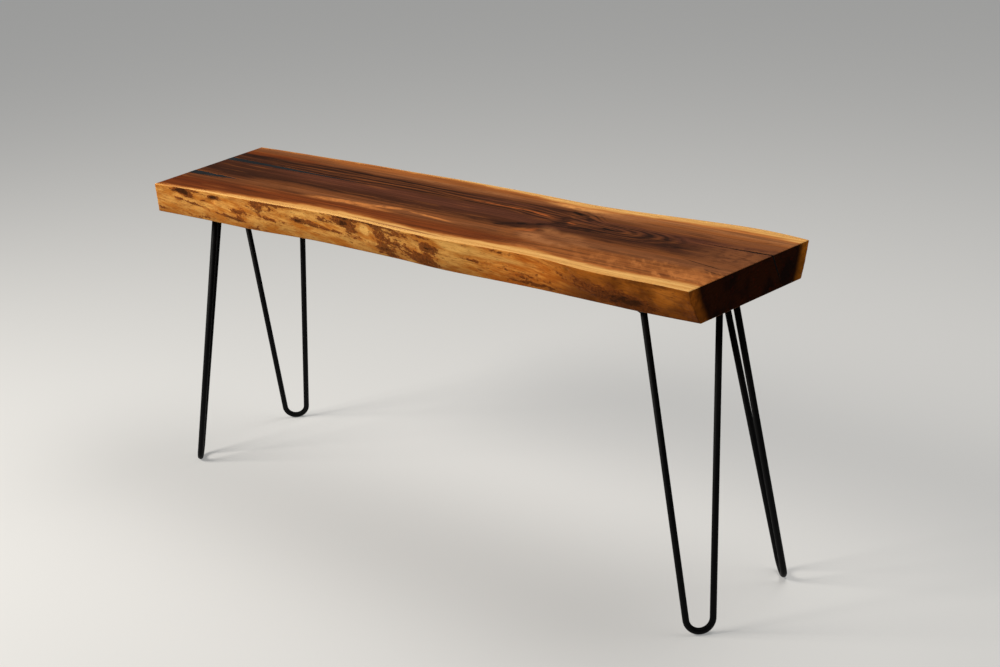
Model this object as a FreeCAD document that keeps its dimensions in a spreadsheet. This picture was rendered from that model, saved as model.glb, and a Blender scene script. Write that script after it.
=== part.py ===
import FreeCAD
import Part
import Sketcher
import os
from enum import IntEnum

# Live-edge coffee table: a slab with two natural edges on four two-rod hairpin legs.
# Millimetres. +X runs along the slab, +Y to its back edge, +Z up, the origin is on the floor under its middle.

# Driving sizes: name, value, meaning
SIZES = (
    ("slab_length", 1115, "slab, end to end along its back edge"),
    ("slab_width", 260, "slab, mean line of the front edge to mean line of the back edge"),
    ("slab_thickness", 51, "slab, underside to top"),
    ("left_skew", 7, "degrees by which the left end leans from square"),
    ("right_skew", 2.3, "degrees by which the right end leans from square"),
    ("edge_wander", 10, "unit in which the natural edges leave their mean lines"),
    ("shoulder_height", 35, "underside to where a natural edge turns from upright to undercut"),
    ("saw_allowance", 25, "length of the rough slab past each finished end"),
    ("leg_height", 457, "floor to the underside of the slab"),
    ("rod_diameter", 9.6, "leg rod with its coating"),
    ("rod_spread", 105, "rod centre to rod centre, at the slab"),
    ("bend_radius", 19.5, "centre line of the bend at the foot"),
    ("lean_out", 78, "how far the foot stands out past the rods' upper ends"),
    ("leg_turn", 45, "degrees from the slab's length to the way a leg leans"),
    ("front_left_end_inset", 33, "foot to the slab's end"),
    ("front_left_side_inset", 12.5, "foot to the mean line of the slab's front edge"),
    ("back_left_end_inset", 35, "foot to the slab's end"),
    ("back_left_side_inset", 19.5, "foot to the mean line of the slab's back edge"),
    ("front_right_end_inset", 16, "foot to the slab's end"),
    ("front_right_side_inset", 17.5, "foot to the mean line of the slab's front edge"),
    ("front_right_twist", 3.9, "degrees by which the front right leg stands askew"),
    ("back_right_end_inset", 17, "foot to the slab's end"),
    ("back_right_side_inset", 31.5, "foot to the mean line of the slab's back edge"),
    ("plate_thickness", 3.2, "mounting plate"),
    ("plate_depth", 46, "rod line to the inner screw of the plate"),
    ("plate_rim", 1, "plate past the foot of the weld bead"),
    ("weld_leg", 2, "weld bead, along the rod and along the plate"),
    ("screw_length", 25.4, "wood screw under its head"),
    ("screw_diameter", 4.8, "wood screw shank"),
    ("screw_point", 6, "tapered point of the screw"),
    ("head_diameter", 9.4, "screw head"),
    ("head_height", 3.2, "screw head"),
    ("head_land", 1.2, "upright rim of the screw head, under its dome"),
    ("head_crown", 5.2, "flat crown of the screw head, across"),
    ("hole_clearance", 0.7, "plate hole over screw shank, on the diameter"),
    ("bore_clearance", 0.2, "pilot bore over screw shank, on the diameter"),
    ("bore_relief", 1, "pilot bore past the screw point"),
    ("wood_over_screws", 9, "screw point to the floor of a resin fill"),
    ("long_fill_y", 36.5, "long fill, middle at the left end"),
    ("long_fill_width", 17, "long fill at the left end"),
    ("long_fill_belly", 8.5, "long fill, width half way along"),
    ("long_fill_reach", 345, "long fill, end to tip"),
    ("long_fill_tip_y", 35, "long fill, tip"),
    ("short_fill_y", -57.5, "short fill, middle at the left end"),
    ("short_fill_width", 17, "short fill at the left end"),
    ("short_fill_belly", 12, "short fill, width half way along"),
    ("short_fill_reach", 115, "short fill, end to tip"),
    ("short_fill_tip_y", -53, "short fill, tip"),
    ("check_y", 50, "fill of the right end's check, middle at the end"),
    ("check_width", 4.2, "check at the right end"),
    ("check_belly", 2, "check, width half way along"),
    ("check_reach", 112, "check, end to tip"),
    ("check_tip_y", 47, "check, tip"),
)

# How far each natural edge lies outside its mean line, in units of edge_wander,
# at even steps from the rough slab's left end to its right end
FRONT_TOP = (2.2, 1.3, 0.55, 0.25, -0.4, -0.65, -0.1, 0.25, -0.35, -0.55, 0.55, 0.35, 0.6)
FRONT_UNDER = (0.9, 0.4, 0.05, -0.2, -1.1, -1.3, -1.3, -0.95, -1.3, -1.55, -1.5, -1.6, -2.2)
BACK_TOP = (-1.2, -0.6, -0.3, 0.05, 0.1, 0.35, 0.25, 0.0, -0.4, 0.25, 1.25, 1.7, 0.3)
BACK_UNDER = (-2.4, -1.8, -1.5, -1.3, -1.2, -1.1, -1.1, -1.3, -1.6, -1.2, -0.4, 0.0, -1.7)

# Share of the undercut that is already there at the shoulder
SHOULDER_UNDERCUT = 0.2

# Every leg by name: the end and the side of the slab that it stands at
LEGS = {
    "front_left": (-1, -1),
    "back_left": (-1, 1),
    "front_right": (1, -1),
    "back_right": (1, 1),
}

# The leg that isn't mounted square to the others
ASKEW_LEG = "front_right"


class Axis(IntEnum):
    """Fixed lines of a sketch."""
    X = -1
    Y = -2


class Spot(IntEnum):
    """Points of a line, arc or circle in a sketch."""
    START = 1
    END = 2
    MIDDLE = 3


doc = FreeCAD.newDocument("coffee_table")
sheet = doc.addObject("Spreadsheet::Sheet", "Sizes")
for row, (name, value, meaning) in enumerate(SIZES, start=1):
    sheet.set(f"A{row}", name)
    sheet.set(f"B{row}", str(value))
    sheet.set(f"C{row}", meaning)
    sheet.setAlias(f"B{row}", name)
doc.recompute()


def value_of(formula):
    """Number that a formula of the sheet's sizes gives now."""
    result = sheet.evalExpression(formula)
    return float(getattr(result, "Value", result))


def new_body(name):
    """Empty body, named and labelled for its node."""
    body = doc.addObject("PartDesign::Body", name)
    body.Label = name
    return body


def new_sketch(body, name, plane="XY_Plane", offset=None):
    """Sketch on one of the body's origin planes, moved by a placement formula."""
    sketch = body.newObject("Sketcher::SketchObject", name)
    support = next(item for item in body.Origin.OriginFeatures if item.Role == plane)
    sketch.AttachmentSupport = (support, [""])
    sketch.MapMode = "FlatFace"
    if offset:
        sketch.setExpression("AttachmentOffset", offset)
    return sketch


def level(height):
    """Placement formula that lifts a sketch off the floor."""
    return f"placement(vector(0; 0; {height}); rotation(vector(0; 0; 1); 0))"


def bind(sketch, name, kind, *geometry, formula):
    """Dimension of a sketch that follows a formula."""
    index = sketch.addConstraint(Sketcher.Constraint(kind, *geometry, value_of(formula)))
    sketch.renameConstraint(index, name)
    sketch.setExpression(f"Constraints.{name}", formula)


def bind_point(sketch, name, geometry, end, point):
    """Both coordinates of a point follow formulas, and a coordinate of 0 lies on the axis."""
    for kind, axis, coordinate in (("DistanceX", Axis.Y, point[0]), ("DistanceY", Axis.X, point[1])):
        if coordinate == "0":
            sketch.addConstraint(Sketcher.Constraint("PointOnObject", geometry, end, axis))
        else:
            place = f"{name}_{kind[-1].lower()}"
            bind(sketch, place, kind, -1, Spot.START, geometry, end, formula=coordinate)


def draw_polygon(sketch, points):
    """Closed outline through points that are given as pairs of formulas."""
    corners = [FreeCAD.Vector(value_of(x), value_of(y), 0) for x, y in points]
    for here, onward in zip(corners, corners[1:] + corners[:1]):
        sketch.addGeometry(Part.LineSegment(here, onward), False)
    count = len(points)
    for index, point in enumerate(points):
        sketch.addConstraint(Sketcher.Constraint("Coincident", index, Spot.END, (index + 1) % count, Spot.START))
        bind_point(sketch, f"corner_{index}", index, Spot.START, point)


def draw_circle(sketch, name, point, diameter):
    """Circle whose centre and diameter follow formulas."""
    centre = FreeCAD.Vector(value_of(point[0]), value_of(point[1]), 0)
    circle = Part.Circle(centre, FreeCAD.Vector(0, 0, 1), value_of(diameter) / 2)
    index = sketch.addGeometry(circle, False)
    bind_point(sketch, name, index, Spot.MIDDLE, point)
    bind(sketch, f"{name}_width", "Diameter", index, formula=diameter)


def draw_rounded_outline(sketch, points, radius):
    """Closed outline that keeps one radius away from every corner, with its corners round."""
    centres = [FreeCAD.Vector(value_of(x), value_of(y), 0) for x, y in points]
    size = value_of(radius)
    count = len(points)
    for here, onward in zip(centres, centres[1:] + centres[:1]):
        along = (onward - here).normalize()
        outward = FreeCAD.Vector(along.y, -along.x, 0) * size
        sketch.addGeometry(Part.LineSegment(here + outward, onward + outward), False)
    for index, centre in enumerate(centres):
        arrive = sketch.Geometry[index - 1 if index else count - 1].EndPoint
        leave = sketch.Geometry[index].StartPoint
        through = centre + ((arrive + leave) / 2 - centre).normalize() * size
        sketch.addGeometry(Part.Arc(arrive, through, leave), False)
    for index, point in enumerate(points):
        arc = count + index
        before = index - 1 if index else count - 1
        sketch.addConstraint(Sketcher.Constraint("Tangent", before, Spot.END, arc, Spot.START))
        sketch.addConstraint(Sketcher.Constraint("Tangent", arc, Spot.END, index, Spot.START))
        bind_point(sketch, f"centre_{index}", arc, Spot.MIDDLE, point)
        bind(sketch, f"round_{index}", "Radius", arc, formula=radius)


def pad(body, sketch, name, length, downwards=False):
    """Solid raised from a sketch, or sunk from it."""
    feature = body.newObject("PartDesign::Pad", name)
    feature.Profile = sketch
    feature.Reversed = downwards
    feature.setExpression("Length", length)
    return feature


def cut(body, sketch, name, length=None, upwards=False):
    """Pocket below a sketch or above it, through everything where it has no length."""
    doc.recompute()
    before = body.Shape.Volume
    feature = body.newObject("PartDesign::Pocket", name)
    feature.Profile = sketch
    feature.Reversed = upwards
    if length:
        feature.setExpression("Length", length)
    else:
        feature.Type = "ThroughAll"
    doc.recompute()
    if not body.Shape.Volume < before:
        raise RuntimeError(f"{name} removes nothing")
    return feature


# Places and sizes that more than one piece uses

SLAB_TOP = "Sizes.leg_height + Sizes.slab_thickness"
PLATE_UNDER = "Sizes.leg_height - Sizes.plate_thickness"
SCREW_REACH = "(Sizes.screw_length - Sizes.plate_thickness)"
FILL_DEPTH = f"Sizes.slab_thickness - {SCREW_REACH} - Sizes.wood_over_screws"
ROD_RADIUS = "Sizes.rod_diameter / 2"
LEAN_ANGLE = f"atan(Sizes.lean_out / (Sizes.leg_height - {ROD_RADIUS}))"
ROD_RUN = f"(Sizes.leg_height - {ROD_RADIUS}) / cos({LEAN_ANGLE})"
WELD_RADIUS = f"({ROD_RADIUS} + Sizes.weld_leg)"

# The leaning plane of a leg, which holds the centre line of its rod
LEG_PLANE = f"placement(vector(0; {ROD_RADIUS}; 0); rotation(vector(1; 0; 0); -{LEAN_ANGLE}))"

# Screws of one leg, from its foot: three along the line of the rods, one at the inner corner of the plate
SCREW_POINTS = (
    ("-Sizes.lean_out", "-Sizes.rod_spread / 4"),
    ("-Sizes.lean_out", "0"),
    ("-Sizes.lean_out", "Sizes.rod_spread / 4"),
    ("-Sizes.lean_out - Sizes.plate_depth", "0"),
)


def leg_foot(leg):
    """Formulas for the place of a leg's foot on the floor and for the way it leans."""
    end, side = LEGS[leg]
    along = f"{end} * (Sizes.slab_length / 2 - Sizes.{leg}_end_inset)"
    across = f"{side} * (Sizes.slab_width / 2 - Sizes.{leg}_side_inset)"
    turn = f"{side} * (90 - {end} * (90 - Sizes.leg_turn))"
    if leg == ASKEW_LEG:
        turn = f"({turn} + Sizes.{leg}_twist)"
    return along, across, turn


def stand_at(piece, leg):
    """Piece that is modelled at a foot takes that leg's place."""
    along, across, turn = leg_foot(leg)
    place = f"placement(vector({along}; {across}; 0); rotation(vector(0; 0; 1); {turn}))"
    piece.setExpression("Placement", place)


def under_slab(leg, point):
    """Formulas for a leg's own point in the frame of the slab."""
    along, across, turn = leg_foot(leg)
    out, aside = point
    x = f"{along} + ({out}) * cos({turn}) - ({aside}) * sin({turn})"
    y = f"{across} + ({out}) * sin({turn}) + ({aside}) * cos({turn})"
    return x, y


# Slab

def end_line(end, across):
    """Formula for the place along the slab where an end is cut, at a distance from the middle line."""
    skew = "Sizes.right_skew" if end > 0 else "Sizes.left_skew"
    return f"{end} * (Sizes.slab_length / 2 - (Sizes.slab_width / 2 - ({across})) * tan({skew}))"


def edge_curve(side, wander):
    """Natural edge of the rough slab at one height."""
    half = value_of("Sizes.slab_length / 2 + Sizes.saw_allowance")
    mean = value_of("Sizes.slab_width / 2")
    unit = value_of("Sizes.edge_wander")
    step = 2 * half / (len(wander) - 1)
    points = []
    for index, share in enumerate(wander):
        points.append(FreeCAD.Vector(index * step - half, side * (mean + unit * share), 0))
    curve = Part.BSplineCurve()
    curve.interpolate(points)
    return curve


def blend(upper, lower, share):
    """Edge between two others."""
    return [above + (below - above) * share for above, below in zip(upper, lower)]


def rough_outline(body, name, height, front, back):
    """Outline of the rough slab at one height."""
    sketch = new_sketch(body, name, offset=level(height))
    near = edge_curve(-1, front)
    far = edge_curve(1, back)
    sketch.addGeometry(near, False)
    sketch.addGeometry(Part.LineSegment(near.EndPoint, far.EndPoint), False)
    sketch.addGeometry(far, False)
    sketch.addGeometry(Part.LineSegment(far.StartPoint, near.StartPoint), False)
    return sketch


def cross_cut(body, end):
    """Takes the rough end off along its skewed line."""
    name = "right_end" if end > 0 else "left_end"
    past = f"{end} * (Sizes.slab_length / 2 + 2 * Sizes.saw_allowance)"
    sketch = new_sketch(body, f"{name}_line")
    corners = [(end_line(end, across), across) for across in ("-Sizes.slab_width", "Sizes.slab_width")]
    corners.append((past, "Sizes.slab_width"))
    corners.append((past, "-Sizes.slab_width"))
    draw_polygon(sketch, corners)
    cut(body, sketch, name, upwards=True)


def fill_outline(end, fill):
    """Outline of a fill at the top of the slab: from the cut end to a tip."""
    middle = f"(Sizes.{fill}_y + Sizes.{fill}_tip_y) / 2"
    start = end_line(end, f"Sizes.{fill}_y")
    near = [f"Sizes.{fill}_y + {side} * Sizes.{fill}_width / 2" for side in (-1, 1)]
    half_way = [f"{middle} + {side} * Sizes.{fill}_belly / 2" for side in (-1, 1)]
    waist = f"{start} - {end} * Sizes.{fill}_reach / 2"
    tip = f"{start} - {end} * Sizes.{fill}_reach"
    return [
        (end_line(end, near[0]), near[0]),
        (waist, half_way[0]),
        (tip, f"Sizes.{fill}_tip_y"),
        (waist, half_way[1]),
        (end_line(end, near[1]), near[1]),
    ]


# Every fill by its node: the end of the slab that it starts at and the name of its sizes
FILLS = {
    "long_resin_fill": (-1, "long_fill"),
    "short_resin_fill": (-1, "short_fill"),
    "end_check_fill": (1, "check"),
}


def build_slab():
    """Rough slab with its natural edges, cut to length, then cut out for the fills and bored for the screws."""
    body = new_body("slab")
    shoulder_front = blend(FRONT_TOP, FRONT_UNDER, SHOULDER_UNDERCUT)
    shoulder_back = blend(BACK_TOP, BACK_UNDER, SHOULDER_UNDERCUT)
    shoulder = "Sizes.leg_height + Sizes.shoulder_height"
    under = rough_outline(body, "underside_outline", "Sizes.leg_height", FRONT_UNDER, BACK_UNDER)
    between = rough_outline(body, "shoulder_outline", shoulder, shoulder_front, shoulder_back)
    above = rough_outline(body, "top_outline", SLAB_TOP, FRONT_TOP, BACK_TOP)
    rough = body.newObject("PartDesign::AdditiveLoft", "rough_slab")
    rough.Profile = under
    rough.Sections = [between, above]
    for end in (-1, 1):
        cross_cut(body, end)
    for node, (end, fill) in FILLS.items():
        sketch = new_sketch(body, f"{node}_outline", offset=level(SLAB_TOP))
        draw_polygon(sketch, fill_outline(end, fill))
        cut(body, sketch, f"{node}_recess", FILL_DEPTH)
    bores = new_sketch(body, "pilot_bore_circles", offset=level("Sizes.leg_height"))
    for leg in LEGS:
        for number, point in enumerate(SCREW_POINTS):
            place = under_slab(leg, point)
            draw_circle(bores, f"{leg}_{number}", place, "Sizes.screw_diameter + Sizes.bore_clearance")
    cut(body, bores, "pilot_bores", f"{SCREW_REACH} + Sizes.bore_relief", upwards=True)
    return body


def build_fill(node, end, fill):
    """Black fill, flush with the top and with the cut end."""
    body = new_body(node)
    sketch = new_sketch(body, f"{node}_shape", offset=level(SLAB_TOP))
    draw_polygon(sketch, fill_outline(end, fill))
    pad(body, sketch, f"{node}_depth", FILL_DEPTH, downwards=True)
    return body


# Legs

def rod_slope():
    """Angle between a straight rod and the middle line of its leg, in the leg's own plane."""
    return (
        f"(atan(Sizes.rod_spread / 2 / ({ROD_RUN} - Sizes.bend_radius))"
        f" - asin(Sizes.bend_radius / hypot(Sizes.rod_spread / 2; {ROD_RUN} - Sizes.bend_radius)))"
    )


def trim_at_plate(body, name):
    """Takes off what reaches above the underside of the plate."""
    sketch = new_sketch(body, f"{name}_field", offset=level(PLATE_UNDER))
    inner = "-Sizes.lean_out - Sizes.rod_spread"
    outer = "Sizes.rod_spread"
    draw_polygon(sketch, [
        (inner, "-Sizes.rod_spread"),
        (outer, "-Sizes.rod_spread"),
        (outer, "Sizes.rod_spread"),
        (inner, "Sizes.rod_spread"),
    ])
    return cut(body, sketch, name, upwards=True)


def build_rod(leg):
    """One rod bent to a narrow V, swept along its centre line and cut level at the plate."""
    name = f"{leg}_rod"
    body = new_body(name)
    path = new_sketch(body, f"{name}_path", "YZ_Plane", LEG_PLANE)
    bend = value_of("Sizes.bend_radius")
    slope = FreeCAD.Rotation(FreeCAD.Vector(0, 0, 1), -value_of(rod_slope()))
    right = FreeCAD.Vector(0, bend, 0) + slope.multVec(FreeCAD.Vector(bend, 0, 0))
    left = FreeCAD.Vector(-right.x, right.y, 0)
    top_right = FreeCAD.Vector(value_of("Sizes.rod_spread / 2"), value_of(ROD_RUN), 0)
    top_left = FreeCAD.Vector(-top_right.x, top_right.y, 0)
    path.addGeometry(Part.LineSegment(top_left, left), False)
    path.addGeometry(Part.Arc(left, FreeCAD.Vector(0, 0, 0), right), False)
    path.addGeometry(Part.LineSegment(right, top_right), False)
    path.addConstraint(Sketcher.Constraint("Tangent", 0, Spot.END, 1, Spot.START))
    path.addConstraint(Sketcher.Constraint("Tangent", 1, Spot.END, 2, Spot.START))
    path.addConstraint(Sketcher.Constraint("Symmetric", 0, Spot.START, 2, Spot.END, Axis.Y))
    bind(path, "bend", "Radius", 1, formula="Sizes.bend_radius")
    bind_point(path, "bend_middle", 1, Spot.MIDDLE, ("0", "Sizes.bend_radius"))
    bind_point(path, "upper_end", 2, Spot.END, ("Sizes.rod_spread / 2", ROD_RUN))
    doc.recompute()
    section = body.newObject("Sketcher::SketchObject", f"{name}_section")
    section.AttachmentSupport = (path, ["Edge1"])
    section.MapMode = "NormalToEdge"
    draw_circle(section, "rod", ("0", "0"), "Sizes.rod_diameter")
    doc.recompute()
    sweep = body.newObject("PartDesign::AdditivePipe", f"{name}_sweep")
    sweep.Profile = section
    sweep.Spine = (path, [])
    trim_at_plate(body, f"{name}_ends")
    stand_at(body, leg)
    return body


def build_plate(leg):
    """Three-cornered plate, round about both rod ends and about the inner screw, with its screw holes."""
    name = f"{leg}_plate"
    body = new_body(name)
    sketch = new_sketch(body, f"{name}_outline", offset=level(PLATE_UNDER))
    corners = [
        ("-Sizes.lean_out", "-Sizes.rod_spread / 2"),
        ("-Sizes.lean_out", "Sizes.rod_spread / 2"),
        ("-Sizes.lean_out - Sizes.plate_depth", "0"),
    ]
    draw_rounded_outline(sketch, corners, f"{WELD_RADIUS} + Sizes.plate_rim")
    for number, point in enumerate(SCREW_POINTS):
        draw_circle(sketch, f"hole_{number}", point, "Sizes.screw_diameter + Sizes.hole_clearance")
    pad(body, sketch, f"{name}_sheet", "Sizes.plate_thickness")
    stand_at(body, leg)
    return body


def build_welds(leg):
    """Weld bead round each end of the rod: a ring turned about the rod, level at the plate."""
    name = f"{leg}_welds"
    body = new_body(name)
    sketch = new_sketch(body, f"{name}_profile", "YZ_Plane", LEG_PLANE)
    slope = value_of(rod_slope())
    along = FreeCAD.Rotation(FreeCAD.Vector(0, 0, 1), -slope).multVec(FreeCAD.Vector(0, 1, 0))
    outward = FreeCAD.Vector(along.y, -along.x, 0)
    run = value_of(f"({PLATE_UNDER} - {ROD_RADIUS}) / cos({LEAN_ANGLE})")
    drop = (value_of(ROD_RUN) - run) / along.y
    end = FreeCAD.Vector(value_of("Sizes.rod_spread / 2"), value_of(ROD_RUN), 0) - along * drop
    radius = value_of(ROD_RADIUS)
    leg_size = value_of("Sizes.weld_leg")
    toe = end + outward * radius - along * leg_size
    root = end + outward * radius + along * radius
    rim = root + outward * (leg_size + radius)
    sketch.addGeometry(Part.LineSegment(toe, rim), False)
    sketch.addGeometry(Part.LineSegment(rim, root), False)
    sketch.addGeometry(Part.LineSegment(root, toe), False)
    for index in range(3):
        sketch.addConstraint(Sketcher.Constraint("Coincident", index, Spot.END, (index + 1) % 3, Spot.START))
        sketch.addConstraint(Sketcher.Constraint("Block", index))
    sketch.addGeometry(Part.LineSegment(end - along * leg_size, end), True)
    doc.recompute()
    ring = body.newObject("PartDesign::Revolution", f"{name}_ring")
    ring.Profile = sketch
    ring.ReferenceAxis = (sketch, ["Axis0"])
    ring.Angle = 360
    level_cut = trim_at_plate(body, f"{name}_level")
    pair = body.newObject("PartDesign::Mirrored", f"{name}_pair")
    pair.Originals = [ring, level_cut]
    middle = next(item for item in body.Origin.OriginFeatures if item.Role == "XZ_Plane")
    pair.MirrorPlane = (middle, [""])
    body.Tip = pair
    stand_at(body, leg)
    return body


def build_screw():
    """One wood screw on the Z axis, with its head seat at height 0 and its point up."""
    body = new_body("screw_pattern")
    sketch = new_sketch(body, "screw_profile", "XZ_Plane")
    draw_polygon(sketch, [
        ("0", "-Sizes.head_height"),
        ("Sizes.head_crown / 2", "-Sizes.head_height"),
        ("Sizes.head_diameter / 2", "-Sizes.head_land"),
        ("Sizes.head_diameter / 2", "0"),
        ("Sizes.screw_diameter / 2", "0"),
        ("Sizes.screw_diameter / 2", "Sizes.screw_length - Sizes.screw_point"),
        ("0", "Sizes.screw_length"),
    ])
    turn = body.newObject("PartDesign::Revolution", "screw_turn")
    turn.Profile = sketch
    turn.ReferenceAxis = (sketch, ["V_Axis"])
    turn.Angle = 360
    doc.recompute()
    return body


def build_screws(leg, screw):
    """The screws of one leg as a group of separate solids, with their heads against the plate."""
    copies = []
    for out, aside in SCREW_POINTS:
        place = FreeCAD.Vector(value_of(out), value_of(aside), value_of(PLATE_UNDER))
        copy = screw.Shape.copy()
        copy.translate(place)
        copies.append(copy)
    group = doc.addObject("Part::Feature", f"{leg}_screws")
    group.Label = f"{leg}_screws"
    group.Shape = Part.makeCompound(copies)
    stand_at(group, leg)
    return group


def build_table():
    """Every piece of the table, by node."""
    pieces = [build_slab()]
    for node, (end, fill) in FILLS.items():
        pieces.append(build_fill(node, end, fill))
    screw = build_screw()
    for leg in LEGS:
        pieces.append(build_rod(leg))
        pieces.append(build_plate(leg))
        pieces.append(build_welds(leg))
        pieces.append(build_screws(leg, screw))
    return pieces


def check(pieces):
    """Stops where an object failed or a piece has no sound solid."""
    doc.recompute()
    failed = [item.Name for item in doc.Objects if {"Invalid", "Error"} & set(item.State)]
    if failed:
        raise RuntimeError(f"failed objects: {failed}")
    for piece in pieces:
        shape = piece.Shape
        if shape.isNull() or not shape.isValid() or not shape.Solids:
            raise RuntimeError(f"{piece.Label} has no sound solid")


table = build_table()
check(table)
os.makedirs("parts", exist_ok=True)
for piece in table:
    piece.Shape.exportStep(f"parts/{piece.Label}.step")
    box = piece.Shape.BoundBox
    print(f"{piece.Label}: {len(piece.Shape.Solids)} solids, {piece.Shape.Volume / 1000:.2f} cm3, "
          f"x {box.XMin:.1f} {box.XMax:.1f}, y {box.YMin:.1f} {box.YMax:.1f}, z {box.ZMin:.1f} {box.ZMax:.1f}")
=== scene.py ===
import logging
import math
from dataclasses import dataclass
from enum import Enum
from functools import reduce

import bmesh
import bpy
import numpy as np
from bpy.types import ID, Material, Mesh, Node, NodeTree, Object
from bpy.types import NodeSocket as Socket
from mathutils import Matrix, Vector, noise


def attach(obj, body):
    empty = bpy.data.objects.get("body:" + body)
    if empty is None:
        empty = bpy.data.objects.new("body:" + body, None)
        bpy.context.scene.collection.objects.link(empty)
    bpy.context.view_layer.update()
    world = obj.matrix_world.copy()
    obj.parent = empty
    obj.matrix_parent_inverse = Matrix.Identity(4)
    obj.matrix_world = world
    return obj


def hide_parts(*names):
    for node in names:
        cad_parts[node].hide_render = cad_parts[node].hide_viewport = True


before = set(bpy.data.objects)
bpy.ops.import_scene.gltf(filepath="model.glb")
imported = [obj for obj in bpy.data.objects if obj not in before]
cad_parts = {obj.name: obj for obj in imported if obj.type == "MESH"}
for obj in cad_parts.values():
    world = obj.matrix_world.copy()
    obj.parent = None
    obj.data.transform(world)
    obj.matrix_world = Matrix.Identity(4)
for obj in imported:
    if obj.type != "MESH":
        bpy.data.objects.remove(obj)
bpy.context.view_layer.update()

LOG = logging.getLogger("coffee_table")
MM = 0.001

# Stretch about the slab's middle, in millimetres, over which its figure is given
SPAN_ALONG, SPAN_ACROSS = 1200, 300

# Every leg by name: the end and the side of the slab that it stands at
LEGS = {"front_left": (-1, -1), "back_left": (-1, 1), "front_right": (1, -1), "back_right": (1, 1)}

Shade = tuple[float, float, float]
Value = Socket | float | tuple[float, ...]
Colour = Socket | Enum | Shade


class Slot(Enum):
    """Material slots of the record."""

    WALNUT = "walnut"
    RESIN = "black_resin"
    COAT = "black_coat"
    STEEL = "screw_steel"


class Side(Enum):
    """Natural edges of the slab."""

    FRONT = "front"
    BACK = "back"


class Face(Enum):
    """Kinds of surface on the slab, by material index."""

    LONG_GRAIN = 0
    LIVE_EDGE = 1
    END_GRAIN = 2


class Tone(Enum):
    """Tones of the walnut as display colours, from dark to pale."""

    INK = (22, 12, 8)
    ESPRESSO = (36, 19, 12)
    UMBER = (56, 29, 16)
    COCOA = (74, 39, 22)
    PLUM = (91, 50, 33)
    MAHOGANY = (98, 44, 15)
    RUSSET = (115, 55, 20)
    FAWN = (107, 60, 31)
    CARAMEL = (120, 68, 34)
    TAWNY = (131, 79, 45)
    AMBER = (150, 87, 41)
    RUST = (176, 92, 42)
    SAND = (168, 108, 64)
    HONEY = (200, 124, 64)
    STRAW = (224, 154, 86)


class SapTone(Enum):
    """Tones of the sapwood on the top as display colours."""

    PLAIN = (212, 148, 76)
    PALE = (240, 186, 110)
    RIM = (182, 104, 44)


class EdgeTone(Enum):
    """Tones of the natural edges as display colours."""

    BARE = (196, 121, 44)
    PALE = (230, 167, 84)
    STREAK = (168, 92, 32)
    SHADED = (110, 54, 6)
    SHADED_PALE = (176, 98, 24)
    SHADED_STREAK = (96, 46, 10)
    WORN = (244, 184, 98)
    WORN_SHADED = (218, 132, 48)
    STAIN = (160, 88, 34)
    THIN_BARK = (132, 69, 27)
    THIN_BARK_DARK = (88, 43, 18)
    THICK_BARK = (46, 23, 9)
    DASH = (88, 44, 16)
    FOOT = (86, 44, 14)


class EndTone(Enum):
    """Tones of the cut ends as display colours; the dark heartwood tones hold painted shade."""

    DARK = (26, 8, 2)
    PLAIN = (58, 25, 7)
    EMBER = (96, 28, 8)
    LATE_WOOD = (22, 10, 5)
    RIM = (26, 11, 4)
    PORE = (18, 8, 5)
    FRONT_SAP = (200, 110, 34)
    BACK_SAP = (234, 136, 36)


def display(tone: Enum | Shade) -> tuple[float, float, float, float]:
    """Linear colour of a display colour.

    Args:
        tone: named tone, or red, green and blue from 0 to 255.

    Returns:
        Linear red, green, blue and an opaque alpha.
    """
    shares = [value / 255 for value in (tone.value if isinstance(tone, Enum) else tone)]
    linear = [((share + 0.055) / 1.055) ** 2.4 if share > 0.04045 else share / 12.92 for share in shares]
    return (*linear, 1.0)


def smooth(value: np.ndarray | float, low: float, high: float) -> np.ndarray:
    """Soft step from 0 at low to 1 at high."""
    share = np.clip((np.asarray(value, float) - low) / (high - low), 0, 1)
    return share * share * (3 - 2 * share)


def uneven(point: tuple[float, float, float], octaves: int) -> float:
    """Natural unevenness at a scaled point, about -1 to 1, with so many finer layers."""
    return noise.fractal(point, 0.9, 2.1, octaves)


def as_object(name: str, data: ID) -> Object:
    """Object at the origin for a mesh, a light or a camera.

    Args:
        name: name of the object.
        data: what it shows.

    Returns:
        The object, linked to the scene.
    """
    piece = bpy.data.objects.new(name, data)
    bpy.context.scene.collection.objects.link(piece)
    return piece


def poured(work: bmesh.types.BMesh, name: str) -> Object:
    """Object of a finished edit mesh, which is used up.

    Args:
        work: the edit mesh.
        name: name of the object and of its mesh.

    Returns:
        The object.
    """
    mesh = bpy.data.meshes.new(name)
    work.to_mesh(mesh)
    work.free()
    return as_object(name, mesh)


def face_outward(mesh: Mesh) -> None:
    """Turns the faces of a closed mesh outward.

    Args:
        mesh: the mesh.
    """
    work = bmesh.new()
    work.from_mesh(mesh)
    bmesh.ops.recalc_face_normals(work, faces=work.faces)
    work.to_mesh(mesh)
    work.free()


def applied(piece: Object) -> Object:
    """Turns an object's modifiers into its plain mesh.

    Args:
        piece: object with live modifiers.

    Returns:
        The same object, without modifiers.
    """
    bpy.context.view_layer.update()
    graph = bpy.context.evaluated_depsgraph_get()
    mesh = bpy.data.meshes.new_from_object(piece.evaluated_get(graph), depsgraph=graph)
    piece.modifiers.clear()
    piece.data = mesh
    return piece


def cut_out(piece: Object, cutters: list[Object], crossing: bool = False) -> None:
    """Takes solids out of an object.

    Args:
        piece: the object.
        cutters: closed solids, which are used up.
        crossing: whether a solid may cross itself.
    """
    for cutter in cutters:
        cut = piece.modifiers.new(cutter.name, "BOOLEAN")
        cut.operation = "DIFFERENCE"
        cut.solver = "EXACT"
        cut.use_self = crossing
        cut.object = cutter
    applied(piece)
    for cutter in cutters:
        bpy.data.objects.remove(cutter)


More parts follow.
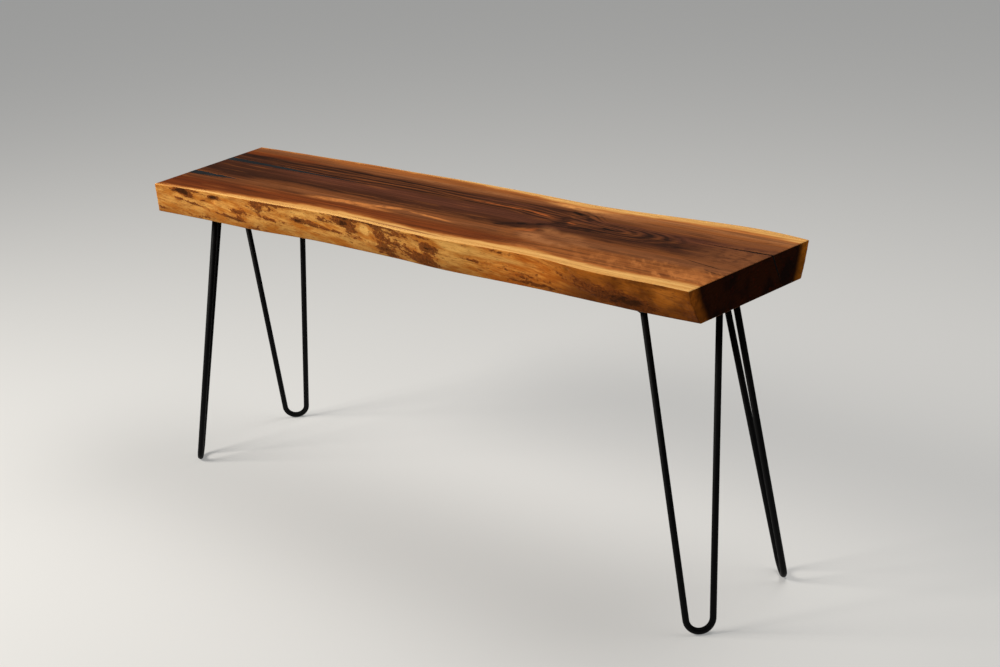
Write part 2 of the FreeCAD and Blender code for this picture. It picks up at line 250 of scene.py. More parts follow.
def settle(piece: Object, node: str) -> None:
    """Puts a finished piece in the place of a CAD node.

    Args:
        piece: the finished object.
        node: CAD node that it stands for.
    """
    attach(piece, "root")
    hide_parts(node)
    LOG.info("%s: %d faces for %s", piece.name, len(piece.data.polygons), node)


class NodeSheet:
    """Short way to lay out a node tree."""

    def __init__(self, tree: NodeTree) -> None:
        """Keeps the tree that the nodes go into."""
        self.tree = tree

    def add(self, kind: str, inputs: dict | None = None, **settings: object) -> Node:
        """New node.

        Args:
            kind: Blender's name of the node type.
            inputs: values or sockets by input name or index.
            settings: properties of the node.

        Returns:
            The node.
        """
        node = self.tree.nodes.new(kind)
        for name, value in settings.items():
            setattr(node, name, value)
        for key, value in (inputs or {}).items():
            self.feed(node.inputs[key], value)
        return node

    def feed(self, socket: Socket, value: object) -> None:
        """Links a socket to another, or sets its value.

        Args:
            socket: input that takes the value.
            value: the value, or the socket that gives it.
        """
        if isinstance(value, Socket):
            self.tree.links.new(value, socket)
        else:
            socket.default_value = value

    def calc(self, operation: str, *values: Value) -> Socket:
        """Result of one math operation on values or sockets."""
        return self.add("ShaderNodeMath", dict(enumerate(values)), operation=operation).outputs[0]

    def times(self, *values: Value) -> Socket:
        """Product of values or sockets."""
        return reduce(lambda product, value: self.calc("MULTIPLY", product, value), values)

    def scaled(self, value: Value, gain: Value, shift: Value) -> Socket:
        """Value times a gain, and a shift added to it."""
        return self.calc("MULTIPLY_ADD", value, gain, shift)

    def vector(self, operation: str, *values: Value) -> Socket:
        """Result of one vector operation on values or sockets."""
        node = self.add("ShaderNodeVectorMath", dict(enumerate(values)), operation=operation)
        return node.outputs["Value" if operation == "LENGTH" else "Vector"]

    def turned(self, vector: Value, axis: str, angle: Value) -> Socket:
        """Vector turned about the X, Y or Z axis by an angle in radians."""
        inputs = {"Vector": vector, "Angle": angle}
        return self.add("ShaderNodeVectorRotate", inputs, rotation_type=f"{axis}_AXIS").outputs[0]

    def step(self, value: Value, low: float, high: float) -> Socket:
        """Soft step from 0 at low to 1 at high, or the other way where high is below low."""
        inputs = {"Value": value, "From Min": low, "From Max": high}
        return self.add("ShaderNodeMapRange", inputs, interpolation_type="SMOOTHSTEP").outputs["Result"]

    def blend(self, share: Value, first: Value, second: Value, kind: str = "MIX") -> Socket:
        """Mix of two colours.

        Args:
            share: how much of the second colour there is.
            first: linear colour or socket.
            second: linear colour or socket.
            kind: blend type.

        Returns:
            Colour socket.
        """
        inputs = {0: share, 6: first, 7: second}
        node = self.add("ShaderNodeMix", inputs, data_type="RGBA", blend_type=kind, clamp_factor=True)
        return node.outputs[2]

    def ramp(self, share: Value, figure: tuple[tuple[float, Tone], ...]) -> Socket:
        """Colour band across the slab.

        Args:
            share: place in the span across, from 0 to 1.
            figure: places in millimetres from the slab's middle line, with their tones.

        Returns:
            Colour socket.
        """
        node = self.add("ShaderNodeValToRGB", {"Fac": share})
        stops = node.color_ramp.elements
        stops.remove(stops[1])
        for index, (place, tone) in enumerate(figure):
            position = place / SPAN_ACROSS + 0.5
            stop = stops.new(position) if index else stops[0]
            stop.position = position
            stop.color = display(tone)
        return node.outputs["Color"]

    def curve(self, along: Value, points: tuple[tuple[float, float], ...], height: float) -> Socket:
        """Value that follows a smooth line along the slab.

        Args:
            along: place along the slab in millimetres.
            points: places along the slab with their values.
            height: upper limit of the values.

        Returns:
            Value socket.
        """
        places = [(place / SPAN_ALONG + 0.5, value / height) for place, value in points]
        node = self.add("ShaderNodeFloatCurve", {"Value": self.scaled(along, 1 / SPAN_ALONG, 0.5)})
        line = node.mapping.curves[0].points
        for place in places[1:-1]:
            line.new(*place)
        for point, place in zip(sorted(line, key=lambda item: item.location.x), places):
            point.location = place
        node.mapping.update()
        return self.times(node.outputs[0], height)

    def noise(self, vector: Value, detail: float) -> Socket:
        """Noise about 0.5 on scaled coordinates."""
        inputs = {"Vector": vector, "Scale": 1.0, "Detail": detail, "Roughness": 0.55}
        return self.add("ShaderNodeTexNoise", inputs).outputs[0]

    def group(self, tree: NodeTree, inputs: dict[str, object]) -> Socket:
        """Output of a shared group with its own values."""
        return self.add("ShaderNodeGroup", inputs, node_tree=tree).outputs[0]

    def attribute(self, name: str) -> Socket:
        """Value of a mesh attribute."""
        return self.add("ShaderNodeAttribute", attribute_name=name).outputs["Fac"]


def new_group(kind: str, name: str, inputs: dict[str, tuple[str, object]],
              output: tuple[str, str]) -> tuple[NodeSheet, dict[str, Socket], Socket]:
    """Empty node group with its named sockets.

    Args:
        kind: Shader or Geometry.
        name: name of the group.
        inputs: type and default of each input by its name, None for no default.
        output: name and type of the output.

    Returns:
        The sheet, the inputs by name and the socket that takes the result.
    """
    tree = bpy.data.node_groups.new(name, f"{kind}NodeTree")
    for label, (form, value) in inputs.items():
        socket = tree.interface.new_socket(name=label, in_out="INPUT", socket_type=f"NodeSocket{form}")
        if value is not None:
            socket.default_value = value
    label, form = output
    tree.interface.new_socket(name=label, in_out="OUTPUT", socket_type=f"NodeSocket{form}")
    sheet = NodeSheet(tree)
    start, end = sheet.add("NodeGroupInput"), sheet.add("NodeGroupOutput")
    return sheet, {label: start.outputs[label] for label in inputs}, end.inputs[0]


class SharedEffects:
    """Shader groups that several finishes use, each made once."""

    def __init__(self) -> None:
        """Builds every group: streaks along the slab, even patches, open vessels and soft spots."""
        self.fibres = self._grain("fibre_streaks", {"Run": 200.0, "Pitch": 3.0}, 3.0)
        self.mottle = self._grain("surface_mottle", {"Size": 5.0}, 4.0)
        self.pores = self._grain("open_pores", {"Run": 11.0, "Pitch": 0.55}, 1.0, (0.60, 0.70))
        self.spot = self._spot()

    @staticmethod
    def _grain(name: str, sizes: dict[str, float], detail: float,
               limits: tuple[float, float] | None = None) -> NodeTree:
        """Noise with one size along the slab and one across it.

        Args:
            name: name of the group.
            sizes: default sizes in millimetres by input name, the one along the slab first.
            detail: how many finer layers are added up.
            limits: values at which a mask begins and is full, or None for the noise itself.

        Returns:
            The group.
        """
        inputs = {"Vector": ("Vector", (0, 0, 0))} | {label: ("Float", size) for label, size in sizes.items()}
        sheet, given, result = new_group("Shader", name, inputs, ("Value", "Float"))
        run, pitch = given[list(sizes)[0]], given[list(sizes)[-1]]
        size = sheet.add("ShaderNodeCombineXYZ", {"X": run, "Y": pitch, "Z": pitch}).outputs[0]
        value = sheet.noise(sheet.vector("DIVIDE", given["Vector"], size), detail)
        sheet.feed(result, sheet.step(value, *limits) if limits else value)
        return sheet.tree

    @staticmethod
    def _spot() -> NodeTree:
        """Soft oval spot on the slab's plan: 1 in its middle, 0 outside.

        Returns:
            The group.
        """
        inputs = {"Vector": ("Vector", (0, 0, 0)), "Centre": ("Vector", (0, 0, 0)),
                  "Radius": ("Vector", (10, 10, 1)), "Turn": ("Float", 0.0)}
        sheet, given, result = new_group("Shader", "soft_spot", inputs, ("Value", "Float"))
        place = sheet.vector("SUBTRACT", given["Vector"], given["Centre"])
        place = sheet.vector("DIVIDE", sheet.turned(place, "Z", given["Turn"]), given["Radius"])
        flat = sheet.vector("MULTIPLY", place, (1, 1, 0))
        sheet.feed(result, sheet.step(sheet.vector("LENGTH", flat), 1.0, 0.15))
        return sheet.tree


@dataclass(frozen=True)
class Spot:
    """Oval place in the slab's figure, in millimetres."""

    x: float  # middle along the slab
    y: float  # middle across the slab
    along: float  # half length
    across: float  # half width
    turn: float  # degrees from the slab's length
    strength: float  # how much of its tone shows
    tone: Tone  # its tone


# Knots, stains, pale places and hairline checks of the figure, and a wide patch of painted sheen at the right
# end
SPOTS = tuple(Spot(*values) for values in (
    (-505, 69, 90, 10, 0, 0.6, Tone.ESPRESSO), (-120, 100, 130, 7, 0, 0.5, Tone.SAND),
    (190, 101, 92, 15, -2, 1.1, Tone.STRAW), (262, 92, 90, 18, 3, 0.6, Tone.SAND),
    (20, 98, 80, 9, 0, 0.5, Tone.SAND), (-40, -21, 170, 5, 0, 0.8, Tone.FAWN),
    (60, 69, 110, 12, 0, 0.7, Tone.PLUM), (98, 57, 40, 5, -2, 0.45, Tone.CARAMEL),
    (96, -22, 34, 5, 0, 0.4, Tone.FAWN), (-130, -95, 90, 8, 0, 0.55, Tone.AMBER),
    (158, -9, 44, 9, 22, 1.0, Tone.ESPRESSO), (131, -26, 18, 7, 14, 0.95, Tone.ESPRESSO),
    (186, 3, 22, 10, 30, 0.8, Tone.ESPRESSO), (208, 20, 24, 22, 10, 0.65, Tone.ESPRESSO),
    (203, 40, 19, 9, -20, 0.85, Tone.ESPRESSO), (200, 74, 26, 7, -24, 1.0, Tone.INK),
    (236, 59, 34, 7, -14, 0.8, Tone.ESPRESSO), (300, 51, 70, 5, -2, 0.7, Tone.ESPRESSO),
    (287, 33, 26, 6, -3, 1.0, Tone.INK), (250, 13, 70, 7, 3, 0.7, Tone.ESPRESSO),
    (345, 4, 34, 6, 4, 0.55, Tone.ESPRESSO), (358, 34, 20, 26, 0, 0.55, Tone.ESPRESSO),
    (392, 38, 18, 26, 0, 0.45, Tone.ESPRESSO), (415, 12, 46, 9, 5, 0.7, Tone.ESPRESSO),
    (318, -14, 36, 7, -4, 0.6, Tone.UMBER), (440, -6, 44, 10, 3, 0.45, Tone.UMBER),
    (430, 58, 50, 14, 0, 0.35, Tone.UMBER), (420, 76, 34, 7, -4, 0.4, Tone.UMBER),
    (176, -31, 24, 10, 24, 0.8, Tone.AMBER), (186, -33, 22, 4, 18, 0.6, Tone.RUST),
    (192, -24, 14, 10, 60, 0.6, Tone.RUST), (222, 30, 14, 4, -10, 0.8, Tone.RUST),
    (205, 56, 18, 4, -26, 0.6, Tone.CARAMEL), (276, 43, 40, 3, -3, 0.4, Tone.CARAMEL),
    (328, 34, 16, 8, 0, 0.35, Tone.CARAMEL), (70, 51, 120, 2.6, -1, 0.9, Tone.RUST),
    (152, 45, 46, 4, -12, 0.9, Tone.RUST), (178, 36, 18, 5, -30, 0.7, Tone.CARAMEL),
    (166, 24, 30, 3, 10, 0.6, Tone.CARAMEL), (-250, 53, 150, 2, -1, 0.3, Tone.AMBER),
    (222, -18, 34, 18, -30, 0.55, Tone.SAND), (214, -50, 42, 22, -20, 0.9, Tone.SAND),
    (302, -48, 42, 12, -4, 0.45, Tone.SAND), (264, -26, 48, 20, -10, 0.45, Tone.SAND),
    (256, -62, 60, 14, -4, 0.7, Tone.SAND), (165, -50, 30, 16, -25, 0.5, Tone.AMBER),
    (-165, -59, 105, 12, 4, 1.1, Tone.HONEY), (-80, -49, 62, 9, 9, 0.85, Tone.HONEY),
    (15, -52, 74, 5, -6, 1.0, Tone.HONEY), (-320, -50, 70, 10, 2, 0.4, Tone.FAWN),
    (-92, -64, 62, 8, 0, 0.65, Tone.HONEY), (236, -95, 50, 9, 0, 0.5, Tone.HONEY),
    # The wide tawny spot at 530, 15 is painted sheen: it makes the right end of the top paler and greyer.
    (515, -84, 50, 24, -6, 0.65, Tone.HONEY), (530, 15, 110, 96, 0, 0.75, Tone.TAWNY),
    (520, 94, 28, 3, 14, 0.5, Tone.UMBER), (500, 9, 32, 6, 3, 0.35, Tone.UMBER),
    (497, -31, 46, 1.4, -11, 1.8, Tone.INK), (527, -53, 26, 1.0, -15, 1.3, Tone.INK),
))

# Figure across the slab at its left end: place in millimetres from the middle line, tone
LEFT_FIGURE = (
    (-150, Tone.RUSSET), (-119, Tone.RUSSET), (-106, Tone.MAHOGANY), (-92, Tone.MAHOGANY), (-70, Tone.FAWN),
    (-48, Tone.FAWN), (-36, Tone.COCOA), (-24, Tone.UMBER), (-12, Tone.UMBER), (4, Tone.COCOA),
    (36, Tone.COCOA), (50, Tone.UMBER), (55, Tone.COCOA), (62, Tone.UMBER), (76, Tone.UMBER),
    (80, Tone.MAHOGANY), (90, Tone.RUSSET), (99, Tone.CARAMEL), (109, Tone.TAWNY), (150, Tone.SAND),
)

# Figure across the slab at its middle
MIDDLE_FIGURE = (
    (-150, Tone.AMBER), (-104, Tone.RUSSET), (-78, Tone.RUSSET), (-64, Tone.CARAMEL), (-50, Tone.TAWNY),
    (-38, Tone.CARAMEL), (-29, Tone.FAWN), (-22, Tone.UMBER), (-14, Tone.COCOA), (-4, Tone.COCOA),
    (6, Tone.PLUM), (28, Tone.PLUM), (40, Tone.COCOA), (64, Tone.COCOA), (77, Tone.UMBER), (85, Tone.FAWN),
    (93, Tone.TAWNY), (109, Tone.AMBER), (117, Tone.AMBER), (150, Tone.HONEY),
)

# Figure across the slab at its right end
RIGHT_FIGURE = (
    (-150, Tone.HONEY), (-100, Tone.AMBER), (-60, Tone.AMBER), (-46, Tone.TAWNY), (-34, Tone.TAWNY),
    (-22, Tone.CARAMEL), (-12, Tone.FAWN), (0, Tone.COCOA), (30, Tone.COCOA), (44, Tone.PLUM),
    (60, Tone.PLUM), (70, Tone.CARAMEL), (82, Tone.TAWNY), (92, Tone.AMBER), (104, Tone.SAND),
    (120, Tone.HONEY), (150, Tone.STRAW),
)

# Width of the sapwood along the slab: place from the slab's middle, width, both in millimetres
FRONT_SAP = (
    (-600, 4), (-520, 5), (-400, 10), (-300, 16), (-180, 23), (0, 22), (110, 22), (230, 25), (310, 22),
    (400, 25), (600, 27),
)
BACK_SAP = (
    (-600, 4), (-400, 5), (-200, 8), (0, 12), (200, 20), (300, 20), (430, 24), (600, 21),
)

# Grey stains in the sapwood
SAP_STAINS = tuple(Spot(*values) for values in (
    (15, -119, 120, 4.4, -2, 0.95, Tone.SAND), (-60, -116, 50, 2.4, -2, 0.5, Tone.TAWNY),
    (60, -121, 60, 2.0, -2, 0.5, Tone.TAWNY), (330, -120, 90, 2.0, -4, 0.35, Tone.SAND),
    (-250, -121, 60, 2.0, 3, 0.4, Tone.SAND),
))


class Finish(NodeSheet):
    """Material in the making: its shader, its colour so far, its coordinates and the shared effects."""

    def __init__(self, name: str, gloss: float, effects: SharedEffects) -> None:
        """Starts the material.

        Args:
            name: name of the material.
            gloss: how strongly it reflects.
            effects: shared shader groups.
        """
        self.material = bpy.data.materials.new(name)
        self.material.use_nodes = True
        super().__init__(self.material.node_tree)
        self.effects = effects
        self.shader = self.tree.nodes["Principled BSDF"]
        self.shader.inputs["Specular IOR Level"].default_value = gloss
        metres = self.add("ShaderNodeTexCoord").outputs["Object"]
        scale = self.add("ShaderNodeVectorMath", {0: metres, "Scale": 1 / MM}, operation="SCALE")
        self.place = scale.outputs["Vector"]
        axes = self.add("ShaderNodeSeparateXYZ", {0: self.place}).outputs
        self.along, self.across, self.level = axes["X"], axes["Y"], axes["Z"]
        self.colour: Socket | None = None

    def fibres(self, run: float, pitch: float, place: Socket | None = None) -> Socket:
        """Streaks of a length and a width in millimetres, along the slab or along turned coordinates."""
        vector = self.place if place is None else place
        return self.group(self.effects.fibres, {"Vector": vector, "Run": run, "Pitch": pitch})

    def mottle(self, size: float) -> Socket:
        """Patches of a size in millimetres."""
        return self.group(self.effects.mottle, {"Vector": self.place, "Size": size})

    def pores(self, run: float, pitch: float) -> Socket:
        """Open vessels of a length and a width in millimetres: 1 in a pore, 0 beside it."""
        return self.group(self.effects.pores, {"Vector": self.place, "Run": run, "Pitch": pitch})

    def mix(self, share: Value, first: Colour, second: Colour) -> Socket:
        """Mix of two colours, each a socket, a named tone or a display colour."""
        first, second = (item if isinstance(item, Socket) else display(item) for item in (first, second))
        return self.blend(share, first, second)

    def tint(self, mask: Value, amount: Value, tone: Colour) -> None:
        """Lays so much of a tone over the colour so far where a mask shows."""
        self.colour = self.mix(self.times(mask, amount), self.colour, tone)

    def spots(self, spots: tuple[Spot, ...], ragged: Value = 1.0) -> None:
        """Lays soft oval places over the colour so far.

        Args:
            spots: the places, the lowest first.
            ragged: mask that breaks them up.
        """
        for spot in spots:
            values = {"Vector": self.place, "Centre": (spot.x, spot.y, 0),
                      "Radius": (spot.along, spot.across, 1), "Turn": -math.radians(spot.turn)}
            mask = self.times(self.group(self.effects.spot, values), ragged)
            self.tint(mask, spot.strength, spot.tone)

    def close(self, rough: Socket, height: Socket, strength: float, depth: float) -> None:
        """Feeds the shader with the colour, the roughness and the fine relief.

        Args:
            rough: roughness.
            height: relief.
            strength: how strongly the relief shows.
            depth: depth of the relief in millimetres.
        """
        relief = {"Height": height, "Strength": strength, "Distance": depth * MM}
        normal = self.add("ShaderNodeBump", relief).outputs[0]
        for name, value in (("Base Color", self.colour), ("Roughness", rough), ("Normal", normal)):
            self.feed(self.shader.inputs[name], value)


class OiledWalnut(Finish):
    """Sanded and oiled face of the slab: dark heartwood with pale sapwood along both natural edges."""

    gloss: float = 0.05  # how strongly it reflects
    rough: float = 0.35  # least roughness of the oil finish
    contrast: float = 1.9  # how strongly the fine streaks show
    mean_shade: float = 0.65  # mean of the streaks, at which they change nothing
    arch_start: float = 285.0  # place along the slab where the growth rings begin to close, in millimetres
    arch_middle: float = 35.0  # middle line of the closing rings, in millimetres from the slab's
    arch_stretch: float = 4.6  # how much longer than wide the closing rings are
    arch_power: float = 2.7  # how square the closing rings are, 2 for an oval
    arch_pitch: float = 6.2  # ring to ring where they close, in millimetres
    line_pitch: float = 11.0  # ring to ring where they run straight, in millimetres
    line_middle: float = 36.0  # line from which the straight rings fan out, in millimetres
    curl_turn: float = 48.0  # degrees by which the curl slants
    sap_limit: float = 30.0  # most width of the sapwood in millimetres

    def __init__(self, effects: SharedEffects) -> None:
        """Builds the finish from the bands of the heartwood up.

        Args:
            effects: shared shader groups.
        """
        super().__init__("oiled_walnut", self.gloss, effects)
        self.calm = self.calc("ADD", self.across, self.scaled(self.fibres(150.0, 40.0), 18.0, -9.0))
        fine = self.fibres(80.0, 1.2)
        self.shade = self.scaled(fine, 0.5, self.times(self.fibres(240.0, 4.6), 0.8))
        self._bands()
        self._arches()
        self._straight_rings()
        gain = self.scaled(self.shade, self.contrast, 1.0 - self.mean_shade * self.contrast)
        grey = self.add("ShaderNodeCombineColor", {0: gain, 1: gain, 2: gain}).outputs[0]
        self.colour = self.blend(1.0, self.colour, grey, "MULTIPLY")
        self.tint(self.step(self.fibres(170.0, 3.4), 0.52, 0.66), 0.5, Tone.UMBER)
        self.tint(self.step(self.fibres(120.0, 6.5), 0.55, 0.70), 0.4, Tone.AMBER)
        ragged = self.scaled(self.fibres(20.0, 3.2), 0.5, self.times(self.mottle(13.0), 0.5))
        self.spots(SPOTS, self.scaled(self.step(ragged, 0.38, 0.56), 0.8625, 0.4025))
        self._curl()
        self._sapwood()
        pores = self.pores(11.0, 0.55)
        self.tint(pores, 0.3, Tone.INK)
        rough = self.scaled(pores, 0.16, self.scaled(self.mottle(26.0), 0.2, self.rough))
        height = self.calc("SUBTRACT", self.times(fine, 0.5), self.times(pores, 0.8))
        self.close(rough, height, 0.25, 0.12)

    def _bands(self) -> None:
        """Bands of the heartwood, which change from the left end over the middle to the right end."""
        bent = self.calc("ADD", self.calm, self.scaled(self.fibres(45.0, 9.0), 7.0, -3.5))
        share = self.scaled(bent, 1 / SPAN_ACROSS, 0.5)
        figures = (LEFT_FIGURE, MIDDLE_FIGURE, RIGHT_FIGURE)
        left, middle, right = (self.ramp(share, figure) for figure in figures)
        patch = self.calc("SUBTRACT", self.fibres(60.0, 12.0), 0.5)
        reach = self.scaled(patch, 190.0, self.along)
        self.colour = self.mix(self.step(reach, -470.0, -290.0), left, middle)
        self.colour = self.mix(self.step(reach, 150.0, 270.0), self.colour, right)

    def _arches(self) -> None:
        """Growth rings at the right, which close in nested arches."""
        past = self.calc("MAXIMUM", self.calc("SUBTRACT", self.along, self.arch_start), 0.0)
        before = self.step(self.along, 275.0, 185.0)
        aside = self.calc("SUBTRACT", self.calm, self.arch_middle)
        upper = self.calc("DIVIDE", self.calc("MAXIMUM", aside, 0.0), self.scaled(before, 1.5, 1.0))
        aside = self.calc("ADD", upper, self.calc("MINIMUM", aside, 0.0))
        far = self.calc("POWER", self.calc("DIVIDE", past, self.arch_stretch), self.arch_power)
        beside = self.calc("POWER", self.calc("ABSOLUTE", aside), self.arch_power)
        ring = self.calc("POWER", self.calc("ADD", far, beside), 1 / self.arch_power)
        phase = self.scaled(self.fibres(42.0, 15.0), 7.0, self.times(ring, math.tau / self.arch_pitch))
        where = self.times(self.step(ring, 38.0, 22.0), self.step(self.along, 165.0, 215.0),
                           self.step(self.along, 500.0, 380.0), self.step(self.fibres(60.0, 6.0), 0.24, 0.5))
        self._stripes(phase, where, 0.8, 0.45)

    def _straight_rings(self) -> None:
        """Growth rings at the left and in the middle, which run almost straight."""
        spread = {"Value": self.along, "From Min": -450.0, "From Max": 190.0, "To Min": 0.95, "To Max": 1.25}
        fan = self.add("ShaderNodeMapRange", spread).outputs[0]
        drift = self.scaled(self.step(self.along, 70.0, 215.0), 17.0, self.calm)
        ring = self.times(self.calc("SUBTRACT", drift, self.line_middle), fan)
        phase = self.scaled(self.fibres(240.0, 30.0), 5.0, self.times(ring, math.tau / self.line_pitch))
        where = self.times(self.step(drift, 30.0, 46.0), self.step(drift, 82.0, 76.0),
                           self.step(self.along, 205.0, 175.0), self.step(self.along, -520.0, -340.0),
                           self.step(self.fibres(150.0, 7.0), 0.1, 0.5))
        self._stripes(phase, where, 0.7, 0.7)

    def _stripes(self, phase: Socket, where: Socket, late: float, early: float) -> None:
        """Dark late wood and warm early wood, one after the other.

        Args:
            phase: angle that grows by a full turn for each growth ring.
            where: how much the rings show.
            late: how much of the dark tone shows.
            early: how much of the warm tone shows.
        """
        wave = self.calc("SINE", phase)
        self.tint(self.times(where, self.step(wave, 0.0, 0.8)), late, Tone.ESPRESSO)
        self.tint(self.times(where, self.step(wave, -0.35, -0.9)), early, Tone.CARAMEL)

    def _curl(self) -> None:
        """Slanting curl in the front corner at the right."""
        slanted = self.turned(self.place, "Z", math.radians(self.curl_turn))
        waves = self.fibres(36.0, 11.0, slanted)
        where = self.times(self.step(self.along, 230.0, 500.0), self.step(self.across, -34.0, -70.0))
        pale = self.times(where, self.step(waves, 0.46, 0.64), self.step(self.mottle(46.0), 0.36, 0.56))
        self.tint(pale, 0.8, Tone.HONEY)
        self.tint(self.times(where, self.step(waves, 0.46, 0.32)), 0.45, Tone.RUSSET)

    def _sapwood(self) -> None:
        """Pale strips along both natural edges, over the heartwood."""
        waver = self.scaled(self.fibres(38.0, 9.0), 14.0, -7.0)
        sap = self.mix(self.step(self.shade, 0.46, 0.80), SapTone.PLAIN, SapTone.PALE)
        for name, widths in (("front_gap", FRONT_SAP), ("back_gap", BACK_SAP)):
            gap = self.scaled(self.attribute(name), 1 / MM, waver)
            inside = self.calc("SUBTRACT", gap, self.curve(self.along, widths, self.sap_limit))
            self.tint(self.step(inside, 9.0, -3.0), 0.8, SapTone.RIM)
            self.colour = self.mix(self.step(inside, 2.0, -8.0), self.colour, sap)
        self.spots(SAP_STAINS)


class LiveEdge(Finish):
    """Natural edge under the bark: honey sapwood with what is left of the inner bark."""

    gloss: float = 0.03  # how strongly it reflects
    rough: float = 0.34  # least roughness
    fall: float = 7.0  # degrees by which its fibres fall towards the right

    def __init__(self, effects: SharedEffects) -> None:
        """Builds the finish from the bare wood up.

        Args:
            effects: shared shader groups.
        """
        super().__init__("live_edge", self.gloss, effects)
        self.tilted = self.turned(self.place, "Y", -math.radians(self.fall))
        self.broad, self.fine = (self.fibres(*size, self.tilted) for size in ((46.0, 10.0), (30.0, 2.2)))
        self.blotch, crumbs = self.mottle(30.0), self.mottle(4.0)
        # Darker right part of the edge: partly the wood's own colour, partly painted shade where the light
        # falls off.
        self.right = self.step(self.scaled(self.blotch, 60.0, self.along), 310.0, 400.0)
        self._bare_wood()
        thin, thick = self._bark(crumbs)
        self.tint(self.step(self.fibres(14.0, 1.8, self.tilted), 0.63, 0.69), 0.8, EdgeTone.DASH)
        # Painted shade: the natural edge is darker towards the underside, where the undercut faces the floor,
        # and more so at the right.
        low = self.step(self.scaled(self.broad, -14.0, self.level), 474.0, 448.0)
        self.tint(low, self.scaled(self.right, 0.2, 0.45), EdgeTone.FOOT)
        rough = self.scaled(thin, 0.2, self.scaled(crumbs, 0.2, self.rough))
        height = self.scaled(self.fine, 0.8, self.times(crumbs, 0.8))
        height = self.scaled(thin, 0.7, self.scaled(thick, 0.4, height))
        self.close(rough, height, 0.6, 0.7)

    def _bare_wood(self) -> None:
        """Sapwood without bark, warmer past the middle, and darker at the right: partly the wood's own darker
        colour, partly painted shade.
        """
        self.colour = self.mix(self.step(self.broad, 0.36, 0.62), EdgeTone.BARE, EdgeTone.PALE)
        self.tint(self.step(self.fine, 0.44, 0.66), 0.55, EdgeTone.STREAK)
        warm = self.times(self.step(self.along, 120.0, 240.0), 0.85)
        self.colour = self.blend(warm, self.colour, (1.05, 0.77, 0.52, 1.0), "MULTIPLY")
        shaded = self.mix(self.step(self.blotch, 0.36, 0.62), EdgeTone.SHADED, EdgeTone.SHADED_PALE)
        streaks = self.times(self.step(self.fine, 0.46, 0.66), 0.3)
        self.tint(self.right, 0.92, self.mix(streaks, shaded, EdgeTone.SHADED_STREAK))

    def _bark(self, crumbs: Socket) -> tuple[Socket, Socket]:
        """Inner bark where it is left, and pale wood where it has come off.

        Args:
            crumbs: small patches.

        Returns:
            Where the bark is thin and where it is thick.
        """
        bark = self.attribute("bark")
        worn = self.scaled(self.step(self.fine, 0.62, 0.42), 0.45, 0.5)
        # Pale bare places, darker at the right with the same painted shade.
        pale = self.mix(self.right, EdgeTone.WORN, EdgeTone.WORN_SHADED)
        self.tint(self.step(bark, -0.04, -0.5), worn, pale)
        flakes = self.fibres(13.0, 4.6, self.tilted)
        field = self.calc("ADD", bark, self.scaled(flakes, 1.7, self.scaled(crumbs, 0.8, -1.25)))
        self.tint(self.step(field, 0.12, 0.5), 0.55, EdgeTone.STAIN)
        thin, thick = self.step(field, 0.42, 0.54), self.step(field, 0.98, 1.2)
        tone = self.mix(self.step(crumbs, 0.38, 0.62), EdgeTone.THIN_BARK_DARK, EdgeTone.THIN_BARK)
        self.tint(thin, 0.86, tone)
        self.tint(thick, 0.85, EdgeTone.THICK_BARK)
        return thin, thick


class EndGrain(Finish):
    """Saw-cut end of the slab, which takes up more oil and is darker; its tones are darker still, as painted
    shade.
    """

    gloss: float = 0.01  # how strongly it reflects
    rough: float = 0.45  # least roughness
    pith_y: float = 30.0  # middle of the growth rings across the slab, in millimetres
    pith_z: float = 330.0  # middle of the growth rings above the floor, in millimetres
    ring: float = 5.5  # spacing of the growth rings in millimetres
    front_sap: float = 17.0  # width of the sapwood at the front, in millimetres
    back_sap: float = 16.5  # width of the sapwood at the back, in millimetres

    def __init__(self, effects: SharedEffects) -> None:
        """Builds the finish from the heartwood up.

        Args:
            effects: shared shader groups.
        """
        super().__init__("walnut_end_grain", self.gloss, effects)
        self.patches, self.flecks = self.mottle(34.0), self.mottle(9.0)
        flat = self.vector("SUBTRACT", self.place, (0, self.pith_y, self.pith_z))
        flat = self.vector("MULTIPLY", flat, (0, 1, 1))
        ring = self.calc("DIVIDE", self.vector("LENGTH", flat), self.ring)
        wave = self.calc("SINE", self.times(self.scaled(self.patches, 5.0, ring), math.tau))
        # Heartwood tones of the end, darkened past the wood's own colour as painted shade.
        self.colour = self.mix(self.step(self.patches, 0.36, 0.62), EndTone.DARK, EndTone.PLAIN)
        self.tint(self.step(self.flecks, 0.58, 0.7), 0.35, EndTone.EMBER)
        late = self.times(self.step(wave, 0.2, 0.95), self.step(self.flecks, 0.36, 0.6))
        self.tint(late, 0.4, EndTone.LATE_WOOD)
        self._sapwood()
        pores = self.pores(60.0, 0.5)
        self.tint(pores, 0.35, EndTone.PORE)
        height = self.calc("SUBTRACT", self.times(wave, 0.12), pores)
        self.close(self.scaled(self.patches, 0.25, self.rough), height, 0.3, 0.15)

    def _sapwood(self) -> None:
        """Pale strips at both natural edges, darker towards the underside."""
        low = self.times(self.step(self.level, 492.0, 474.0), 0.5)
        waver = self.times(self.calc("SUBTRACT", self.patches, 0.5), 14.0)
        for name, width, sap in (("front_gap", self.front_sap, EndTone.FRONT_SAP),
                                 ("back_gap", self.back_sap, EndTone.BACK_SAP)):
            gap = self.scaled(self.attribute(name), 1 / MM, waver)
            self.tint(self.step(gap, width + 20, width + 8), 0.5, EndTone.RIM)
            fleck, foot = (tuple(share * part for part in sap.value) for share in (0.8, 0.6))
            pale = self.mix(low, self.mix(self.step(self.flecks, 0.4, 0.62), sap, fleck), foot)
            self.colour = self.mix(self.step(gap, width + 10, width - 9), self.colour, pale)


